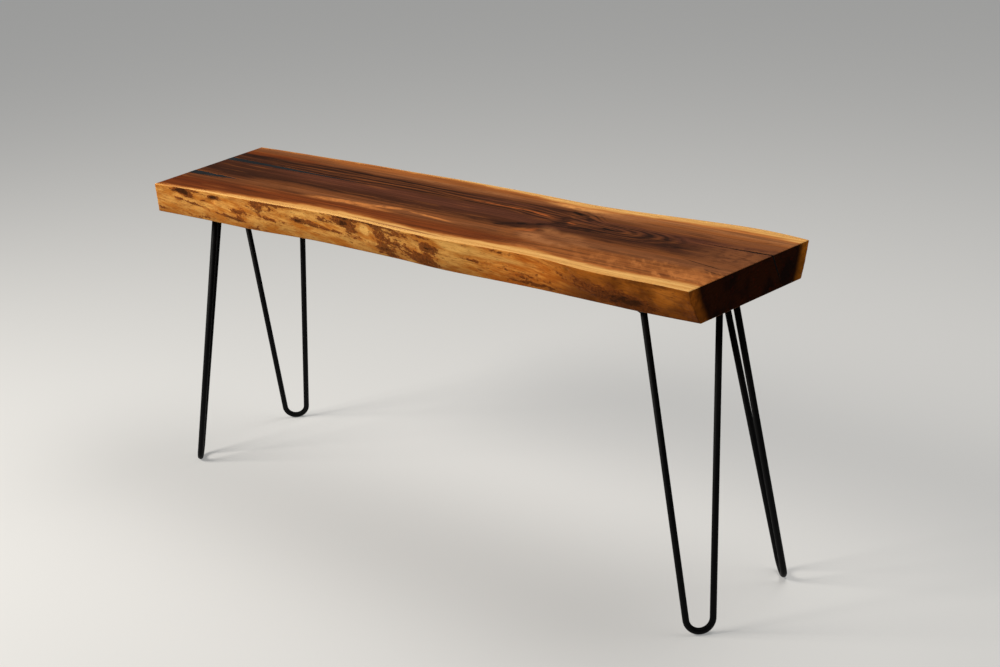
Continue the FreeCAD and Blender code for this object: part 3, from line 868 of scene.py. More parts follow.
@dataclass(frozen=True)
class PlainFinish:
    """Finish of one colour with fine unevenness: cast resin, powder coat or blackened steel."""

    name: str  # name of the material
    base: Shade  # display colour
    lift: Shade  # display colour of its paler places
    grain: float  # size of the unevenness in millimetres
    rough: float  # mean roughness
    spread: float  # how far the roughness varies
    relief: float  # height of the unevenness in millimetres
    gloss: float = 0.5  # how strongly it reflects
    metal: float = 0.0  # 1 for bare metal
    cloud: float = 22.0  # size of the paler places, in grains

    def material(self, effects: SharedEffects) -> Material:
        """Builds the finish.

        Args:
            effects: shared shader groups.

        Returns:
            The material.
        """
        finish = Finish(self.name, self.gloss, effects)
        finish.shader.inputs["Metallic"].default_value = self.metal
        broad = finish.mottle(self.grain * self.cloud)
        finish.colour = finish.mix(finish.step(broad, 0.4, 0.7), self.base, self.lift)
        rough = finish.scaled(broad, self.spread, self.rough - self.spread / 2)
        finish.close(rough, finish.mottle(self.grain), 0.4, self.relief)
        return finish.material


RESIN = PlainFinish("cast_black_resin", (12, 14, 16), (30, 34, 38), 2.4, 0.26, 0.12, 0.05, 0.25)
CHECK = PlainFinish("black_check_fill", (6, 6, 7), (13, 12, 12), 1.2, 0.6, 0.12, 0.03, 0.03)
COAT = PlainFinish("black_powder_coat", (8, 8, 9), (13, 13, 14), 0.9, 0.56, 0.12, 0.05, 0.1)
STEEL = PlainFinish("black_oxide_steel", (52, 53, 56), (84, 84, 88), 0.35, 0.38, 0.16, 0.03, 0.5, 1.0)


@dataclass(frozen=True)
class BarkPatch:
    """Place on a natural edge where inner bark is left, or where it has come off, in millimetres; one front
    patch is painted shade in a hollow.
    """

    x: float  # middle along the slab
    z: float  # middle above the underside
    along: float  # half length
    high: float  # half height
    strength: float  # how much bark there is, negative where it has come off
    turn: float = 5.0  # degrees by which it falls towards the right


FRONT_BARK = tuple(BarkPatch(*values) for values in (
    (-461, 46, 16, 6.5, 1.7), (-478, 45, 14, 3, 0.6), (-446, 40, 10, 4, 0.8), (-425, 47, 18, 2.5, 0.7),
    (-446, 27, 28, 2.2, 0.9, 8), (-476, 32, 10, 2, 0.7), (-415, 34, 12, 2, 0.6), (-390, 43, 12, 3, 2.0, 0),
    # The patch at -390, 43 is painted shade: it blackens the hollow there and is not bark.
    (-357, 15, 36, 2.4, 1.1, 6), (-333, 16, 8, 5, 0.7), (-338, 26, 25, 5, 0.7), (-284, 42, 32, 10, 0.66, 2),
    (-240, 49.5, 50, 3.2, 0.9, 0), (-290, 38, 12, 5, 0.2), (-204, 31, 12, 5, 0.85), (-184, 30, 22, 5.5, 0.7),
    (-142, 25, 38, 3.6, 0.6), (-255, 23, 28, 2.4, 0.75, 3), (-103, 42, 37, 10.5, 1.05, 4),
    (-62, 50, 50, 3.5, 0.9, 0), (-300, 4, 30, 2.4, 0.6, 0), (-24, 38, 26, 14, 0.6), (18, 44, 34, 5, 0.42),
    (8, 22, 44, 12, 0.36), (-16, 13, 18, 5, 0.9), (82, 33, 20, 9, 1.0), (72, 49, 22, 2.6, 0.6),
    (73, 11, 28, 8, 0.85), (40, 28, 60, 26, 0.2), (160, 26, 14, 3, 0.7), (172, 13, 6, 2, 0.8),
    (212, 47, 46, 3.4, 0.5), (225, 24, 52, 7, 0.3), (345, 28, 42, 13, 0.4), (425, 18, 56, 13, 0.9),
    (448, 12, 26, 9, 0.6), (270, 7, 56, 4, 0.6, 1), (-205, 43, 26, 6, -0.6), (-136, 46, 14, 2.6, -0.5),
    (-154, 40, 12, 3.4, 0.7), (-56, 38, 15, 11, -1.1), (-112, 32, 14, 3, -0.4), (-78, 30, 12, 5, 0.3),
    (48, 35, 16, 5, -0.4), (128, 42, 34, 8, -0.6), (-500, 30, 30, 8, -0.16), (-150, 31, 15, 3, -0.5),
    (505, 28, 28, 16, -0.26), (-517, 9, 13, 1.7, 0.9, 0), (-428, 5, 36, 3, 0.6, 0),
    (208, 36, 74, 7, -0.42, 2), (512, 42, 34, 6, -0.24, 0), (-80, 21, 26, 8, 0.36), (-290, 26, 26, 6, 0.2),
    (64, 4, 26, 3.5, 0.5), (-12, 5, 26, 4, 0.45), (408, 9, 26, 7, 0.5), (552, 12, 18, 12, 0.55),
    (272, 15, 34, 6, 0.4),
))
BACK_BARK = tuple(BarkPatch(*values) for values in (
    (-505, 30, 26, 14, 0.5, 2), (-470, 41, 30, 3, 0.9, 6), (-440, 18, 44, 2.6, 0.8, 3),
    (-392, 33, 16, 8, 0.9, -4), (-372, 44, 34, 3, 0.7, 1), (-330, 22, 30, 3, 0.75, 9),
    (-300, 38, 12, 5, 1.3, 0), (-238, 14, 60, 3, 0.6, 2), (-215, 36, 46, 9, 0.62, 4),
    (-176, 40, 14, 5, 0.8, -6), (-118, 26, 38, 2.4, 0.9, 8), (-90, 44, 26, 2.6, 0.8, 0),
    (-52, 10, 40, 4, 0.6, 0), (-10, 33, 24, 11, 0.7, 3), (22, 42, 12, 4, 1.2, 0), (74, 20, 52, 3, 0.8),
    (118, 38, 18, 3, 0.9, -5), (170, 30, 60, 14, 0.34, 2), (186, 44, 30, 2.6, 0.8, 1),
    (236, 16, 26, 5, 0.9, 4), (300, 36, 20, 4, 0.8, 10), (338, 22, 56, 12, 0.5, 3), (352, 12, 24, 5, 0.8, 0),
    (430, 40, 46, 3, 0.7, 2), (452, 24, 16, 6, 1.0, -3), (510, 14, 34, 8, 0.6, 2), (-150, 46, 20, 3, -0.5, 0),
    (50, 34, 16, 6, -0.5), (250, 38, 30, 6, -0.4),
))


# Small hollows in the front edge, in millimetres: place along, height above the underside, half height, depth
DENTS = ((-395, 37, 5, 3.2), (-478, 41, 7, 1.6), (340, 42, 3.5, 2.6), (84, 28, 9, 1.2))


class EdgeLine:
    """Smooth line through evenly spaced values along the rough slab."""

    def __init__(self, values: tuple[float, ...], half: float) -> None:
        """Fits the line.

        Args:
            values: distances at even steps.
            half: half length of the rough slab.
        """
        count = len(values)
        self.values = np.array(values)
        self.half = half
        self.spacing = 2 * half / (count - 1)
        matrix = np.eye(count)
        right = np.zeros(count)
        for index in range(1, count - 1):
            matrix[index, index - 1:index + 2] = (1, 4, 1)
            right[index] = 6 * (self.values[index - 1] - 2 * self.values[index] + self.values[index + 1])
        self.bends = np.linalg.solve(matrix, right)

    def at(self, along: np.ndarray) -> np.ndarray:
        """Values of the line.

        Args:
            along: places along the slab.

        Returns:
            One value for each place.
        """
        place = np.clip((along + self.half) / self.spacing, 0, len(self.values) - 1.000001)
        index = place.astype(int)
        past = place - index
        before = 1 - past
        ends = before * self.values[index] + past * self.values[index + 1]
        bend = (before ** 3 - before) * self.bends[index] + (past ** 3 - past) * self.bends[index + 1]
        return ends + bend / 6


@dataclass
class Slab:
    """Slab with two natural edges, cut to length, with its sizes in metres."""

    length: float = 1.115  # end to end along its back edge
    width: float = 0.260  # mean line of one edge to mean line of the other
    thickness: float = 0.051  # underside to top
    underside: float = 0.457  # height of the underside
    left_skew: float = 7.0  # degrees by which the left end leans from square
    right_skew: float = 2.3  # degrees by which the right end leans from square
    left_lean: float = 0.0088  # how far the left end stands out at its lower front corner
    wander: float = 0.010  # unit of the edge lists
    allowance: float = 0.025  # rough length past each end
    shoulder: float = 0.035  # height where an edge turns from upright to undercut
    undercut: float = 0.2  # share of the undercut that is there at the shoulder
    ease: float = 0.0016  # rounding of the upper edges
    chamfer: float = 0.0005  # broken edge round each end
    skin: float = 0.0001  # wood that the finish takes off each natural edge
    hollow: float = 0.0013  # mean depth of the natural surface under its smooth edge
    swell: float = 0.0015  # height of its long waves
    swell_size: tuple[float, float] = (0.075, 0.030)  # length and height of a long wave
    chip: float = 0.00055  # height of its small chips
    chip_size: tuple[float, float] = (0.017, 0.0075)  # length and height of a chip
    chip_slant: float = 0.05  # height over which the chips move on by one
    bark: float = 0.0009  # thickness of the inner bark
    fade_top: float = 0.007  # height under the upper edge over which the unevenness fades out
    fade_foot: float = 0.008  # height over the underside over which it fades to a share
    foot_share: float = 0.2  # that share
    stations: int = 400  # sections along the slab
    rows: int = 26  # faces up an edge
    columns: int = 46  # faces across the top

    def __post_init__(self) -> None:
        """Fits the four edge lines."""
        half = self.length / 2 + self.allowance
        lists = {
            "front_top": (2.2, 1.3, 0.55, 0.25, -0.4, -0.65, -0.1, 0.25, -0.35, -0.55, 0.55, 0.35, 0.6),
            "front_under": (0.9, 0.4, 0.05, -0.2, -1.1, -1.3, -1.3, -0.95, -1.3, -1.55, -1.5, -1.6, -2.2),
            "back_top": (-1.2, -0.6, -0.3, 0.05, 0.1, 0.35, 0.25, 0.0, -0.4, 0.25, 1.25, 1.7, 0.3),
            "back_under": (-2.4, -1.8, -1.5, -1.3, -1.2, -1.1, -1.1, -1.3, -1.6, -1.2, -0.4, 0.0, -1.7),
        }
        self.lines = {name: EdgeLine(values, half) for name, values in lists.items()}

    @property
    def top(self) -> float:
        """Height of the top."""
        return self.underside + self.thickness

    def end_at(self, end: int, across: np.ndarray | float, height: np.ndarray | float) -> np.ndarray | float:
        """Place along the slab where an end is cut.

        Args:
            end: 1 at the right, -1 at the left.
            across: places across the slab.
            height: heights above the underside.

        Returns:
            Places along the slab.
        """
        skew = math.radians(self.right_skew if end > 0 else self.left_skew)
        along = end * (self.length / 2 - (self.width / 2 - across) * math.tan(skew))
        if end > 0:
            return along
        return along - self.left_lean * (1 - height / self.thickness) * (0.5 - across / self.width)

    def edge_at(self, side: Side, along: np.ndarray, height: np.ndarray) -> np.ndarray:
        """Place across the slab of a natural edge, before its unevenness.

        Args:
            side: front or back.
            along: places along the slab.
            height: heights above the underside.

        Returns:
            Places across the slab.
        """
        upper = self.lines[f"{side.value}_top"].at(along)
        lower = self.lines[f"{side.value}_under"].at(along)
        mid, high = self.shoulder, self.thickness
        share = (height - mid) * (height - high) / (mid * high)
        share = share + self.undercut * height * (height - high) / (mid * (mid - high))
        out = self.width / 2 - self.skin + self.wander * (upper + (lower - upper) * share)
        return -out if side is Side.FRONT else out

    @staticmethod
    def bark_at(side: Side, along: np.ndarray, height: np.ndarray) -> np.ndarray:
        """How much inner bark is left on a natural edge.

        Args:
            side: front or back.
            along: places along the slab.
            height: heights above the underside.

        Returns:
            Values about 0 to 1, below 0 where the bark has come off.
        """
        total = np.zeros(np.broadcast(along, height).shape)
        for patch in FRONT_BARK if side is Side.FRONT else BACK_BARK:
            fall = math.tan(math.radians(patch.turn))
            right = along / MM - patch.x
            out = (right / patch.along) ** 2 + ((height / MM - patch.z + right * fall) / patch.high) ** 2
            total = total + patch.strength * np.exp(-out)
        return np.clip(total, -0.8, 1.4)

    def relief_at(self, side: Side, along: np.ndarray, height: np.ndarray) -> np.ndarray:
        """How far the natural surface lies inside its smooth edge.

        Args:
            side: front or back.
            along: places along the slab, in one row.
            height: heights above the underside, in one row.

        Returns:
            Depths, 0 at the upper edge.
        """
        seed = 0.0 if side is Side.FRONT else 7.3
        (swell_run, swell_rise), (chip_run, chip_rise) = self.swell_size, self.chip_size
        places = list(zip(along, height))
        swells = [uneven((x / swell_run, z / swell_rise, seed), 2) for x, z in places]
        chips = [uneven((x / chip_run + z / self.chip_slant, z / chip_rise, seed + 3), 3) for x, z in places]
        depth = self.hollow + self.swell * np.array(swells) + self.chip * np.array(chips)
        depth = depth - self.bark * smooth(self.bark_at(side, along, height), 0.25, 0.7)
        for x, z, radius, hollow in DENTS if side is Side.FRONT else ():
            far = ((along / MM - x) / (1.6 * radius)) ** 2 + ((height / MM - z) / radius) ** 2
            depth = depth + hollow * MM * np.exp(-2.2 * far)
        low = self.foot_share + (1 - self.foot_share) * smooth(height, 0.0, self.fade_foot)
        fade = smooth(self.thickness - height, 0.0, self.fade_top) * low
        return np.maximum(depth, 0.0) * fade

    def _section(self) -> tuple[np.ndarray, np.ndarray, np.ndarray]:
        """Grid of one cross section.

        Returns:
            Its heights, its shares across and its insets from the nearer edge.
        """
        rounding = np.radians([0, 22.5, 45, 67.5, 90])
        drop = self.ease * (1 - np.sin(rounding))
        inset = self.ease * (1 - np.cos(rounding))
        middle = np.linspace(self.ease, self.thickness - self.ease, self.rows - 3)
        low = drop[[2, 1]]
        heights = np.concatenate([low, middle, self.thickness - low[::-1]])
        rows, columns = len(heights), self.columns + 1
        height = np.repeat(heights[:, None], columns, axis=1)
        share = np.repeat(np.linspace(0, 1, columns - 4)[None, :], rows, axis=0)
        share = np.concatenate([np.zeros((rows, 2)), share, np.ones((rows, 2))], axis=1)
        gap = np.full((rows, columns), self.ease)
        gap[:, [0, -1]] = 0.0
        gap[:, [1, -2]] = inset[3]
        for row, step in ((0, 2), (1, 1), (-2, 1), (-1, 2)):
            gap[row, [0, -1]] = inset[step]
        for row, sign, base in ((0, 1, 0.0), (-1, -1, self.thickness)):
            height[row, 2:-2] = base
            height[row, [1, -2]] = base + sign * drop[3]
        return height, share, gap

    def _places(self, station: float, height: np.ndarray, share: np.ndarray, gap: np.ndarray) -> np.ndarray:
        """Points of the slab.

        Args:
            station: share of the length.
            height: heights above the underside.
            share: shares across.
            gap: insets from the nearer edge.

        Returns:
            Points, one for each set of values.
        """
        across = (share - 0.5) * self.width
        for _ in range(3):
            left, right = self.end_at(-1, across, height), self.end_at(1, across, height)
            along = left + (right - left) * station
            front, back = (self.edge_at(side, along, height) for side in Side)
            inner = front + self.ease + share * (back - front - 2 * self.ease)
            across = np.where(share <= 0, front + gap, np.where(share >= 1, back - gap, inner))
        for side, chosen, inward in ((Side.FRONT, share <= 0, 1), (Side.BACK, share >= 1, -1)):
            across[chosen] += inward * self.relief_at(side, along[chosen], height[chosen])
        return np.stack([along, across, self.underside + height], axis=-1)

    def _mesh(self) -> Mesh:
        """Closed mesh: sections along the slab and a grid over each end.

        Returns:
            The mesh, with a material index for each kind of surface.
        """
        section = self._section()
        rows, columns = section[0].shape
        loop = [(0, j) for j in range(columns - 1)] + [(i, columns - 1) for i in range(rows - 1)]
        loop += [(rows - 1, j) for j in range(columns - 1, 0, -1)] + [(i, 0) for i in range(rows - 1, 0, -1)]
        row_of, column_of = np.array(loop).T
        edge = self.chamfer / self.length
        stations = np.concatenate([[0.0], np.linspace(edge, 1 - edge, self.stations), [1.0]])
        ends = [self._places(station, *section) for station in (0.0, 1.0)]
        outline = [grid[row_of, column_of] for grid in section]
        rings = [self._places(station, *outline) for station in stations]
        for grid in (*ends, rings[0], rings[-1]):
            flat = grid.reshape(-1, 3)[:, 1:]
            middle = (flat.min(0) + flat.max(0)) / 2
            span = flat.max(0) - flat.min(0)
            grid[..., 1:] = middle + (grid[..., 1:] - middle) * (1 - 2 * self.chamfer / span)
        points = list(np.concatenate(rings))
        count, last = len(loop), len(stations) - 1
        faces, kinds = [], []
        for low in range(0, last * count, count):
            for k in range(count):
                onward = (k + 1) % count
                faces.append((low + k, low + onward, low + count + onward, low + count + k))
                upright = column_of[k] == column_of[onward] and column_of[k] in (0, columns - 1)
                kinds.append(Face.LIVE_EDGE.value if upright else Face.LONG_GRAIN.value)
        for grid, first, turn in ((ends[0], 0, -1), (ends[1], last * count, 1)):
            index = np.full((rows, columns), -1)
            index[row_of, column_of] = first + np.arange(count)
            inner = grid[1:-1, 1:-1].reshape(-1, 3)
            index[1:-1, 1:-1] = (len(points) + np.arange(len(inner))).reshape(rows - 2, columns - 2)
            points.extend(inner)
            corners = (index[:-1, :-1], index[:-1, 1:], index[1:, 1:], index[1:, :-1])[::turn]
            faces.extend(np.stack(corners, axis=-1).reshape(-1, 4).tolist())
            kinds.extend([Face.END_GRAIN.value] * (rows - 1) * (columns - 1))
        mesh = bpy.data.meshes.new("slab_dressed")
        mesh.from_pydata([tuple(point) for point in points], [], faces)
        mesh.polygons.foreach_set("material_index", kinds)
        face_outward(mesh)
        return mesh

    def _attributes(self, mesh: Mesh) -> None:
        """Writes how far each point lies from both natural edges, and the bark on them.

        Args:
            mesh: finished mesh of the slab.
        """
        places = np.zeros(len(mesh.vertices) * 3)
        mesh.vertices.foreach_get("co", places)
        along, across, height = places.reshape(-1, 3).T
        height = np.clip(height - self.underside, 0, self.thickness)
        front = across - self.edge_at(Side.FRONT, along, height)
        back = self.edge_at(Side.BACK, along, height) - across
        barks = (self.bark_at(side, along, height) for side in Side)
        bark = np.where(front < back, *barks)
        for name, values in (("front_gap", front), ("back_gap", back), ("bark", bark)):
            attribute = mesh.attributes.new(name, "FLOAT", "POINT")
            attribute.data.foreach_set("value", values.astype(np.float32))

    def build(self, cutters: list[Object], effects: SharedEffects) -> Object:
        """Slab with the recesses for its fills and the bores for its screws.

        Args:
            cutters: closed solids to take out of it, which are used up.
            effects: shared shader groups.

        Returns:
            The slab's object.
        """
        piece = as_object("slab_dressed", self._mesh())
        for finish in (OiledWalnut, LiveEdge, EndGrain):
            piece.data.materials.append(finish(effects).material)
        cut_out(piece, cutters)
        self._attributes(piece.data)
        return piece

    @staticmethod
    def dress(piece: Object) -> None:
        """Soft shading of all but the ends, and the slab's place.

        Args:
            piece: the slab's object.
        """
        soft = [polygon.material_index != Face.END_GRAIN.value for polygon in piece.data.polygons]
        piece.data.polygons.foreach_set("use_smooth", soft)
        settle(piece, "slab")


# Cross section of a fill: shares of its half width and of its depth, round from its front upper corner
FILL_SECTION = ((-1.0, 0.0), (-0.5, 0.0), (0.5, 0.0), (1.0, 0.0), (0.78, 0.4), (0.3, 1.0), (-0.3, 1.0),
                (-0.78, 0.4))


@dataclass
class Fill:
    """Black fill of a natural check, flush with the top and with a cut end, with its sizes in metres."""

    node: str  # CAD node that it stands for
    end: int  # end of the slab that it starts at
    middle: float  # place across the slab at that end
    tip: float  # place across the slab at its tip
    width: float  # width at the end
    belly: float  # width half way along
    reach: float  # end to tip
    depth: float  # depth at the end
    slant: float  # how far its foot leans to the back at the end
    seed: float  # place in the noise that makes its sides ragged
    steps: int = 90  # sections along it
    finish: PlainFinish = RESIN  # what it is filled with
    rag: float = 0.28  # how ragged its sides are, as a share of their distance from its middle
    rag_waves: float = 9.0  # waves of the ragged sides along it
    sway: float = 0.16  # how far its middle wanders, as a share of its half width
    sway_waves: float = 5.0  # waves of its middle along it
    taper: float = 1.4  # how its depth falls towards the tip, 1 for a straight line
    least_half: float = 0.00025  # least half width
    least_depth: float = 0.0015  # least depth
    shrink: float = 0.00006  # how far it lies below the top and inside the end
    room_over: float = 0.002  # how far the solid that makes room for it stands over the top
    room_past: float = 0.004  # how far that solid stands out of the end

    def _outline(self, slab: Slab, over: float, past: float) -> Mesh:
        """Closed solid of the fill.

        Args:
            slab: the slab that it lies in.
            over: how far it stands over the top.
            past: how far it stands out of the end.

        Returns:
            The mesh.
        """
        points, faces = [], []
        count = len(FILL_SECTION)
        for step in range(self.steps + 1):
            share = step / self.steps
            left = 1 - share
            plain = self.width * left + (self.belly - self.width / 2) * 4 * share * left
            half = max(plain / 2, self.least_half)
            rags = [uneven((share * self.rag_waves, self.seed + side, 0), 4) for side in (0, 5)]
            sway = self.sway * half * uneven((share * self.sway_waves, self.seed + 9, 0), 3)
            centre = self.middle + (self.tip - self.middle) * share + sway * left
            depth = max(self.depth * (1 - share ** self.taper), self.least_depth)
            lean = self.slant * left ** 6
            for aside, down in FILL_SECTION:
                ragged = 1 + self.rag * rags[aside >= 0] * min(1.0, 6 * share)
                across = centre + aside * half * ragged + lean * down
                lift = over if down == 0 else -down * depth
                start = slab.end_at(self.end, across, slab.thickness + lift)
                along = start - self.end * (self.reach * share - (past if step == 0 else 0.0))
                points.append((along, across, slab.top + lift))
        for low in range(0, self.steps * count, count):
            for k in range(count):
                onward = (k + 1) % count
                faces.append((low + k, low + onward, low + count + onward, low + count + k))
        faces += [tuple(range(first, first + count)) for first in (0, self.steps * count)]
        mesh = bpy.data.meshes.new(f"{self.node}_dressed")
        mesh.from_pydata(points, [], faces)
        face_outward(mesh)
        return mesh

    def cutter(self, slab: Slab) -> Object:
        """Solid that makes room for the fill."""
        return as_object(f"{self.node}_room", self._outline(slab, self.room_over, self.room_past))

    def build(self, slab: Slab) -> Object:
        """The fill itself, a hair below the top."""
        return as_object(f"{self.node}_dressed", self._outline(slab, -self.shrink, -self.shrink))

    def dress(self, piece: Object, materials: dict[str, Material]) -> None:
        """Finish of the fill.

        Args:
            piece: the fill's object.
            materials: materials by the name of their finish.
        """
        piece.data.materials.append(materials[self.finish.name])
        settle(piece, self.node)


FILLS = (
    Fill("long_resin_fill", -1, 0.0365, 0.035, 0.017, 0.0085, 0.345, 0.0185, 0.0, 1.7),
    Fill("short_resin_fill", -1, -0.0575, -0.053, 0.017, 0.012, 0.115, 0.0185, 0.0, 4.2),
    Fill("end_check_fill", 1, 0.050, 0.047, 0.0042, 0.0028, 0.112, 0.0485, 0.024, 8.1, 60, CHECK),
)


def end_tree(sheet: NodeSheet, geometry: Socket, finish: Socket, result: Socket) -> NodeTree:
    """Last nodes of geometry nodes, which make copies real and give them their finish.

    Args:
        sheet: node sheet of the tree.
        geometry: what the tree has made.
        finish: material.
        result: socket that takes the result.

    Returns:
        The tree.
    """
    real = sheet.add("GeometryNodeRealizeInstances", {"Geometry": geometry}).outputs[0]
    dressed = sheet.add("GeometryNodeSetMaterial", {"Geometry": real, "Material": finish}).outputs[0]
    sheet.feed(result, dressed)
    return sheet.tree


def rod_tree() -> NodeTree:
    """Geometry nodes that bend a round rod along a corner line.

    Returns:
        Tree with the inputs Rod radius, Bend radius, Bend steps, Sides and Finish.
    """
    inputs = {"Geometry": ("Geometry", None), "Rod radius": ("Float", 0.0048),
              "Bend radius": ("Float", 0.0195), "Bend steps": ("Int", 28), "Sides": ("Int", 28),
              "Finish": ("Material", None)}
    sheet, given, result = new_group("Geometry", "bent_rod", inputs, ("Geometry", "Geometry"))
    line = sheet.add("GeometryNodeMeshToCurve", {"Mesh": given["Geometry"]}).outputs[0]
    corner = {"Curve": line, "Count": given["Bend steps"], "Radius": given["Bend radius"]}
    bend = sheet.add("GeometryNodeFilletCurve", corner, mode="POLY").outputs[0]
    circle = {"Resolution": given["Sides"], "Radius": given["Rod radius"]}
    section = sheet.add("GeometryNodeCurvePrimitiveCircle", circle, mode="RADIUS").outputs[0]
    sweep = {"Curve": bend, "Profile Curve": section, "Fill Caps": True}
    tube = sheet.add("GeometryNodeCurveToMesh", sweep).outputs[0]
    soft = sheet.add("GeometryNodeSetShadeSmooth", {"Geometry": tube}).outputs[0]
    return end_tree(sheet, soft, given["Finish"], result)


def screw_tree() -> NodeTree:
    """Geometry nodes that set a screw on every point, each turned by its own angle.

    Returns:
        Tree with the inputs Screw, Seed and Finish.
    """
    inputs = {"Geometry": ("Geometry", None), "Screw": ("Object", None), "Seed": ("Int", 1),
              "Finish": ("Material", None)}
    sheet, given, result = new_group("Geometry", "screw_set", inputs, ("Geometry", "Geometry"))
    screw = sheet.add("GeometryNodeObjectInfo", {"Object": given["Screw"]}).outputs["Geometry"]
    angles = {3: math.tau, "Seed": given["Seed"]}
    angle = sheet.add("FunctionNodeRandomValue", angles, data_type="FLOAT").outputs[1]
    turn = sheet.add("ShaderNodeCombineXYZ", {"Z": angle}).outputs[0]
    rotation = sheet.add("FunctionNodeEulerToRotation", {0: turn}).outputs[0]
    points = sheet.add("GeometryNodeMeshToPoints", {"Mesh": given["Geometry"]}).outputs[0]
    copies = {"Points": points, "Rotation": rotation, "Instance": screw}
    screws = sheet.add("GeometryNodeInstanceOnPoints", copies).outputs[0]
    return end_tree(sheet, screws, given["Finish"], result)


def run_tree(piece: Object, tree: NodeTree,
             values: dict[str, object]) -> Object:
    """Runs geometry nodes on an object and keeps their result as its mesh.

    Args:
        piece: object that the tree starts from.
        tree: the geometry nodes.
        values: inputs by name.

    Returns:
        The same object.
    """
    modifier = piece.modifiers.new(tree.name, "NODES")
    modifier.node_group = tree
    for item in tree.interface.items_tree:
        if item.item_type == "SOCKET" and item.in_out == "INPUT" and item.name in values:
            modifier[item.identifier] = values[item.name]
    return applied(piece)


@dataclass
class LegShape:
    """Sizes in metres that all four hairpin legs share."""

    height: float = 0.457  # floor to the underside of the slab
    rod: float = 0.0096  # diameter of the rod
    rod_steps: int = 28  # steps round the rod and round its bend
    spread: float = 0.105  # rod to rod at the slab
    bend: float = 0.0195  # radius of the bend's centre line
    lean: float = 0.078  # how far the foot stands out
    turn: float = 45.0  # degrees from the slab's length to the way a leg leans
    plate: float = 0.0032  # thickness of the mounting plate
    plate_depth: float = 0.046  # rod line to the inner screw
    plate_edge: float = 0.0004  # broken edge of the plate
    weld: float = 0.002  # leg of the weld bead
    weld_swell: float = 0.0004  # how far the bead bulges
    weld_slope: float = 0.7  # share of the bulge that goes out and down
    weld_root: float = 0.0004  # how far the bead reaches into the rod
    weld_steps: int = 84  # steps round a bead
    weld_parts: int = 7  # points across a bead
    screw_length: float = 0.0254  # length of a screw under its head
    screw_diameter: float = 0.0048  # diameter of its shank
    head_diameter: float = 0.0094  # diameter of its head
    head_height: float = 0.0032  # height of its head
    head_flat: float = 0.0022  # radius of the head's flat crown
    head_dish: float = 0.0002  # depth of the dish in the crown
    head_rim: float = 0.0012  # height of the head's upright rim
    head_edge: float = 0.0003  # broken edge under the rim
    neck: float = 0.8  # radius under the head, as a share of the shank's
    thread_root: float = 0.68  # radius between the threads, as a share of the shank's
    thread_pitch: float = 0.0018  # thread to thread
    thread_start: float = 0.004  # plain shank under the head
    thread_end: float = 0.006  # plain end before the point's tip
    tip: float = 0.005  # length of the point
    tip_root: float = 0.66  # radius where the point begins, as a share of the shank's
    # length, width and twice the depth of a drive slot
    drive: tuple[float, float, float] = (0.0048, 0.0011, 0.0036)
    pilot: float = 0.005  # diameter of the pilot bores

    @property
    def plate_under(self) -> float:
        """Height of the plate's underside."""
        return self.height - self.plate

    @property
    def screw_points(self) -> list[Vector]:
        """Screws of one leg, from its foot, at the plate's underside.

        Returns:
            Three screws between the rods and one further in.
        """
        row = [Vector((-self.lean, self.spread / 4 * place, self.plate_under)) for place in (-1, 0, 1)]
        return [*row, Vector((-self.lean - self.plate_depth, 0, self.plate_under))]

    def corner_line(self) -> list[Vector]:
        """Line of the two straight rods without their bend, from the foot.

        Returns:
            Upper end, meeting point and upper end.
        """
        rise = self.height - self.rod / 2
        run = math.hypot(rise, self.lean)
        half = self.spread / 2
        straight = run - self.bend
        slope = math.atan(half / straight) - math.asin(self.bend / math.hypot(half, straight))
        up = Vector((-self.lean, 0, rise)) / run
        base = Vector((0, 0, self.rod / 2))
        meeting = base + up * (run - half / math.tan(slope))
        return [base + up * run + Vector((0, -half, 0)), meeting, base + up * run + Vector((0, half, 0))]

    def screw_profile(self) -> list[tuple[float, float]]:
        """Half section of a screw: domed head, shank, threads and point.

        Returns:
            Radius and height of each point, from the head's crown to the screw's point.
        """
        shank, head = self.screw_diameter / 2, self.head_diameter / 2
        dish, edge = self.head_dish, self.head_edge
        profile = [(0.0, dish - self.head_height), (self.head_flat - dish, dish / 2 - self.head_height)]
        for angle in np.radians(range(0, 91, 15)):
            profile.append((self.head_flat + (head - self.head_flat) * math.sin(angle),
                            -self.head_rim - (self.head_height - self.head_rim) * math.cos(angle)))
        profile += [(head, -edge), (head - edge, 0.0), (shank * self.neck, 0.0)]
        root, pitch, level = shank * self.thread_root, self.thread_pitch, self.thread_start
        while level < self.screw_length - self.thread_end:
            profile += [(root, level), (shank, level + pitch * 0.45), (root, level + pitch * 0.9)]
            level += pitch
        return [*profile, (shank * self.tip_root, self.screw_length - self.tip), (0.0, self.screw_length)]

    def make_screw(self) -> Object:
        """One wood screw on the Z axis, its head seat at height 0 and its point up.

        Returns:
            The screw's object.
        """
        work = bmesh.new()
        ring = [work.verts.new((radius, 0, z)) for radius, z in self.screw_profile()]
        edges = [work.edges.new(pair) for pair in zip(ring, ring[1:])]
        bmesh.ops.spin(work, geom=ring + edges, cent=(0, 0, 0), axis=(0, 0, 1), angle=math.tau, steps=28)
        bmesh.ops.remove_doubles(work, verts=work.verts, dist=1e-6)
        bmesh.ops.recalc_face_normals(work, faces=work.faces)
        screw = poured(work, "wood_screw")
        slots = bmesh.new()
        down = Matrix.Translation((0, 0, -self.head_height))
        for turn in (0, 90):
            box = bmesh.ops.create_cube(slots, size=1.0)["verts"]
            place = Matrix.Rotation(math.radians(turn), 4, "Z") @ down
            bmesh.ops.transform(slots, matrix=place @ Matrix.Diagonal((*self.drive, 1)), verts=box)
        cut_out(screw, [poured(slots, "drive_slots")], crossing=True)
        return screw


# Insets of each foot from the slab's end and from the mean line of its edge, and the degrees that it is askew
STANDS = {"front_left": (0.033, 0.0125, 0.0), "back_left": (0.035, 0.0195, 0.0),
          "front_right": (0.016, 0.0175, 3.9), "back_right": (0.017, 0.0315, 0.0)}

